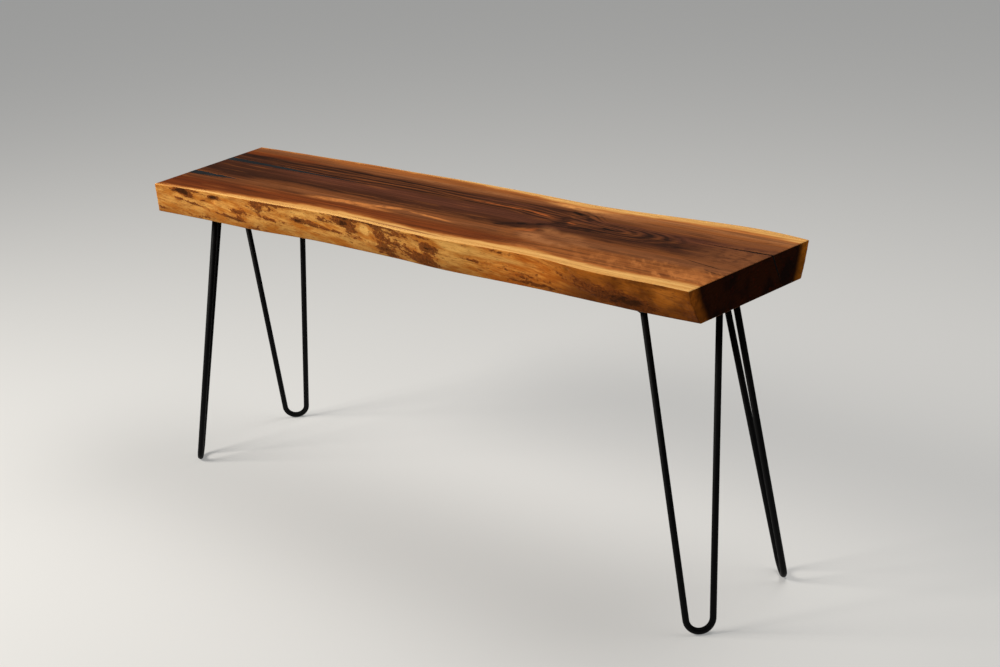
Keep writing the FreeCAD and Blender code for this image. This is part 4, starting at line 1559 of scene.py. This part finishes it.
# Ripples of a weld bead: height, how many go round it and where they start
WELD_RIPPLES = ((0.00016, 14, 0), (0.0001, 5, 1))


@dataclass
class HairpinLeg:
    """One leg: a bent rod, its mounting plate, two weld beads and four screws."""

    name: str  # name of the leg
    shape: LegShape  # sizes that all legs share
    slab: Slab  # the slab that it carries
    bore_spare: float = 0.001  # how far a pilot bore goes past its screw
    bore_below: float = 0.002  # how far the solid of a bore stands out of the slab
    first_seed: int = 3  # seed of the first leg's screws

    @property
    def place(self) -> Matrix:
        """Turn and place of the leg's foot.

        Returns:
            Matrix from the leg's own frame, in which it leans along X, to the table's.
        """
        end, side = LEGS[self.name]
        end_inset, side_inset, twist = STANDS[self.name]
        along = end * (self.slab.length / 2 - end_inset)
        across = side * (self.slab.width / 2 - side_inset)
        turn = side * (90 - end * (90 - self.shape.turn)) + twist
        return Matrix.Translation((along, across, 0)) @ Matrix.Rotation(math.radians(turn), 4, "Z")

    def bores(self) -> Object:
        """Solids of the pilot bores in the slab.

        Returns:
            One object with all four.
        """
        work = bmesh.new()
        radius = self.shape.pilot / 2
        low = self.shape.height - self.bore_below
        high = self.shape.plate_under + self.shape.screw_length + self.bore_spare
        for point in self.shape.screw_points:
            matrix = self.place @ Matrix.Translation((point.x, point.y, (low + high) / 2))
            bmesh.ops.create_cone(work, cap_ends=True, segments=16, radius1=radius, radius2=radius,
                                  depth=high - low, matrix=matrix)
        return poured(work, f"{self.name}_bores")

    def build_rod(self, tree: NodeTree, coat: Material) -> Object:
        """Bent rod, cut level at the plate.

        Args:
            tree: geometry nodes of the rod.
            coat: its material.

        Returns:
            The rod's object.
        """
        shape = self.shape
        mesh = bpy.data.meshes.new(f"{self.name}_rod_dressed")
        mesh.from_pydata([self.place @ point for point in shape.corner_line()], [(0, 1), (1, 2)], [])
        values = {"Rod radius": shape.rod / 2, "Bend radius": shape.bend, "Bend steps": shape.rod_steps,
                  "Sides": shape.rod_steps, "Finish": coat}
        piece = run_tree(as_object(mesh.name, mesh), tree, values)
        work = bmesh.new()
        work.from_mesh(piece.data)
        cut = bmesh.ops.bisect_plane(work, geom=work.verts[:] + work.edges[:] + work.faces[:],
                                     plane_co=(0, 0, shape.plate_under), plane_no=(0, 0, 1),
                                     clear_outer=True)
        rim = [item for item in cut["geom_cut"] if isinstance(item, bmesh.types.BMEdge)]
        bmesh.ops.holes_fill(work, edges=rim, sides=0)
        bmesh.ops.recalc_face_normals(work, faces=work.faces)
        work.to_mesh(piece.data)
        work.free()
        return piece

    def build_plate(self) -> Object:
        """Mounting plate with broken edges, from the CAD node's outline.

        Returns:
            The plate's object.
        """
        work = bmesh.new()
        work.from_mesh(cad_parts[f"{self.name}_plate"].data)
        bmesh.ops.remove_doubles(work, verts=work.verts, dist=1e-6)
        bmesh.ops.dissolve_limit(work, angle_limit=math.radians(1), verts=work.verts, edges=work.edges)
        for face in work.faces:
            face.smooth = abs(face.normal.z) < 0.5
        piece = poured(work, f"{self.name}_plate_dressed")
        edge = piece.modifiers.new("broken_edge", "BEVEL")
        edge.width = self.shape.plate_edge
        edge.segments = 2
        edge.limit_method = "ANGLE"
        edge.angle_limit = math.radians(50)
        return applied(piece)

    def build_welds(self) -> Object:
        """Rippled weld bead round each end of the rod.

        Returns:
            One object with both beads.
        """
        shape = self.shape
        left, meeting, right = shape.corner_line()
        work = bmesh.new()
        for top in (left, right):
            axis = (top - meeting).normalized()
            centre = top - axis * ((top.z - shape.plate_under) / axis.z)
            rings = [self._weld_ring(work, centre, axis, math.tau * step / shape.weld_steps)
                     for step in range(shape.weld_steps)]
            for here, onward in zip(rings, rings[1:] + rings[:1]):
                for part in range(len(here)):
                    after = (part + 1) % len(here)
                    face = work.faces.new((onward[part], onward[after], here[after], here[part]))
                    face.smooth = part < shape.weld_parts - 1
        return poured(work, f"{self.name}_welds_dressed")

    def _weld_ring(self, work: bmesh.types.BMesh, centre: Vector, axis: Vector,
                   angle: float) -> list[bmesh.types.BMVert]:
        """Section of a weld bead.

        Args:
            work: edit mesh that takes its points.
            centre: middle of the rod at the plate.
            axis: direction of the rod.
            angle: place round the rod in radians.

        Returns:
            Its points, from the rod to the plate and back inside.
        """
        shape = self.shape
        first = (Vector((0, 1, 0)) - axis * axis.y).normalized()
        out = first * math.cos(angle) + axis.cross(first) * math.sin(angle)
        ripple = sum(height * math.sin(angle * count + start) for height, count, start in WELD_RIPPLES)
        points = []
        for share in np.linspace(0, 1, shape.weld_parts):
            swell = shape.weld_slope * (shape.weld_swell + ripple) * math.sin(math.pi * share)
            reach = shape.rod / 2 + shape.weld * share + swell
            point = centre + out * reach - axis * (shape.weld * (1 - share) + swell)
            point.z = shape.plate_under if share == 1 else min(point.z, shape.plate_under)
            points.append(point)
        root = centre + out * (shape.rod / 2 - shape.weld_root)
        points.append(root - axis * ((root.z - shape.plate_under) / axis.z))
        return [work.verts.new(self.place @ point) for point in points]

    def build_screws(self, tree: NodeTree, screw: Object,
                     steel: Material) -> Object:
        """Four screws, each turned as it was driven.

        Args:
            tree: geometry nodes of the screws.
            screw: one screw.
            steel: its material.

        Returns:
            The screws' object.
        """
        mesh = bpy.data.meshes.new(f"{self.name}_screws_dressed")
        mesh.from_pydata([self.place @ point for point in self.shape.screw_points], [], [])
        values = {"Screw": screw, "Seed": self.first_seed + list(LEGS).index(self.name), "Finish": steel}
        return run_tree(as_object(mesh.name, mesh), tree, values)

    def dress(self, part: str, piece: Object, slot: Slot, material: Material) -> None:
        """Finish and place of one piece of the leg.

        Args:
            part: rod, plate, welds or screws.
            piece: its object.
            slot: its material slot; not used.
            material: its finish.
        """
        piece.data.materials.clear()
        piece.data.materials.append(material)
        settle(piece, f"{self.name}_{part}")


@dataclass(frozen=True)
class Lamp:
    """Soft area light."""

    name: str  # name of the lamp
    place: tuple[float, float, float]  # where it hangs
    target: tuple[float, float, float]  # point that it faces
    size: tuple[float, float]  # width and height
    power: float  # in watts
    colour: tuple[float, float, float]  # linear colour

    def build(self) -> None:
        """Hangs the lamp."""
        data = bpy.data.lights.new(self.name, "AREA")
        data.shape = "RECTANGLE"
        data.size, data.size_y = self.size
        data.energy = self.power
        data.color = self.colour
        lamp = as_object(self.name, data)
        lamp.location = self.place
        lamp.rotation_euler = (Vector(self.target) - lamp.location).to_track_quat("-Z", "Y").to_euler()


LAMPS = (
    Lamp("key_light", (-1.5, -1.7, 1.9), (-0.15, 0.0, 0.45), (1.2, 1.0), 68.0, (1.0, 0.95, 0.88)),
    Lamp("top_light", (0.5, 0.7, 2.5), (0.1, 0.05, 0.5), (1.6, 1.2), 28.0, (1.0, 0.97, 0.93)),
)


@dataclass
class Studio:
    """Pale floor, soft light and the camera."""

    location: tuple[float, float, float] = (1.7861, -1.8675, 1.2270)  # place of the camera
    yaw: float = -0.735278  # camera's turn from +Y towards +X, in radians
    pitch: float = 0.345299  # how far it looks down, in radians
    roll: float = -0.0552475  # its roll, in radians
    lens: float = 62.98  # focal length in millimetres
    film: float = 36.0  # width of the camera's frame in millimetres
    floor_reach: float = 90.0  # half side of the floor
    floor_colour: tuple[float, float, float, float] = (0.5, 0.5, 0.49, 1.0)  # linear colour of the floor
    floor_rough: float = 0.75  # its roughness
    # linear colour that the floor adds for the camera near the table
    floor_glow: tuple[float, float, float, float] = (0.27, 0.27, 0.266, 1.0)
    fade_start: float = 5.0  # distance at which that glow starts to fade
    fade_end: float = 40.0  # distance at which it is down to a share of the studio's grey
    far_share: float = 0.5  # that share
    grey: tuple[float, float, float, float] = (0.086, 0.088, 0.09, 1.0)  # linear colour of the studio

    def build(self) -> None:
        """Sets up the floor, the lights, the world and the camera."""
        self._floor()
        for lamp in LAMPS:
            lamp.build()
        world = bpy.data.worlds.new("studio")
        world.use_nodes = True
        world.node_tree.nodes["Background"].inputs["Color"].default_value = self.grey
        world.node_tree.nodes["Background"].inputs["Strength"].default_value = 1.0
        bpy.context.scene.world = world
        self._camera()
        bpy.context.scene.view_settings.view_transform = "Standard"

    def _floor(self) -> None:
        """Wide pale floor, which fades into the grey of the studio far away."""
        mesh = bpy.data.meshes.new("studio_floor")
        corners = ((-1, -1), (1, -1), (1, 1), (-1, 1))
        mesh.from_pydata([(x * self.floor_reach, y * self.floor_reach, 0) for x, y in corners], [],
                         [(0, 1, 2, 3)])
        floor = as_object("studio_floor", mesh)
        material = bpy.data.materials.new("pale_floor")
        material.use_nodes = True
        shader = material.node_tree.nodes["Principled BSDF"].inputs
        shader["Base Color"].default_value = self.floor_colour
        shader["Roughness"].default_value = self.floor_rough
        sheet = NodeSheet(material.node_tree)
        path = sheet.add("ShaderNodeLightPath").outputs
        seen = sheet.calc("MAXIMUM", path["Is Camera Ray"], path["Is Glossy Ray"])
        seen = sheet.calc("MAXIMUM", seen, path["Is Transmission Ray"])
        place = sheet.add("ShaderNodeTexCoord").outputs["Object"]
        near = sheet.step(sheet.vector("LENGTH", place), self.fade_end, self.fade_start)
        far = tuple(self.far_share * part for part in self.grey[:3])
        sheet.feed(shader["Emission Color"], sheet.blend(near, (*far, 1.0), self.floor_glow))
        sheet.feed(shader["Emission Strength"], seen)
        mesh.materials.append(material)

    def _camera(self) -> None:
        """Camera at the photograph's angle."""
        level = math.cos(self.pitch)
        forward = Vector((math.sin(self.yaw) * level, math.cos(self.yaw) * level, -math.sin(self.pitch)))
        flat = Vector((math.cos(self.yaw), -math.sin(self.yaw), 0))
        rise = flat.cross(forward)
        right = flat * math.cos(self.roll) + rise * math.sin(self.roll)
        up = rise * math.cos(self.roll) - flat * math.sin(self.roll)
        turn = Matrix((right, up, -forward)).transposed().to_4x4()
        data = bpy.data.cameras.new("camera")
        data.lens = self.lens
        data.sensor_width = self.film
        data.sensor_fit = "HORIZONTAL"
        camera = as_object("camera", data)
        camera.matrix_world = Matrix.Translation(self.location) @ turn
        bpy.context.scene.camera = camera


def main() -> None:
    """Builds the studio and every piece of the table."""
    logging.basicConfig(level=logging.INFO, format="%(message)s")
    Studio().build()
    effects = SharedEffects()
    materials = {finish.name: finish.material(effects) for finish in (RESIN, CHECK, COAT, STEEL)}
    coat, steel = materials[COAT.name], materials[STEEL.name]
    slab = Slab()
    shape = LegShape()
    legs = [HairpinLeg(name, shape, slab) for name in LEGS]
    cutters = [fill.cutter(slab) for fill in FILLS] + [leg.bores() for leg in legs]
    slab.dress(slab.build(cutters, effects))
    for fill in FILLS:
        fill.dress(fill.build(slab), materials)
    rods, screws, screw = rod_tree(), screw_tree(), shape.make_screw()
    for leg in legs:
        leg.dress("rod", leg.build_rod(rods, coat), Slot.COAT, coat)
        leg.dress("plate", leg.build_plate(), Slot.COAT, coat)
        leg.dress("welds", leg.build_welds(), Slot.COAT, coat)
        leg.dress("screws", leg.build_screws(screws, screw, steel), Slot.STEEL, steel)
    bpy.data.objects.remove(screw)


if __name__ == "__main__":
    main()
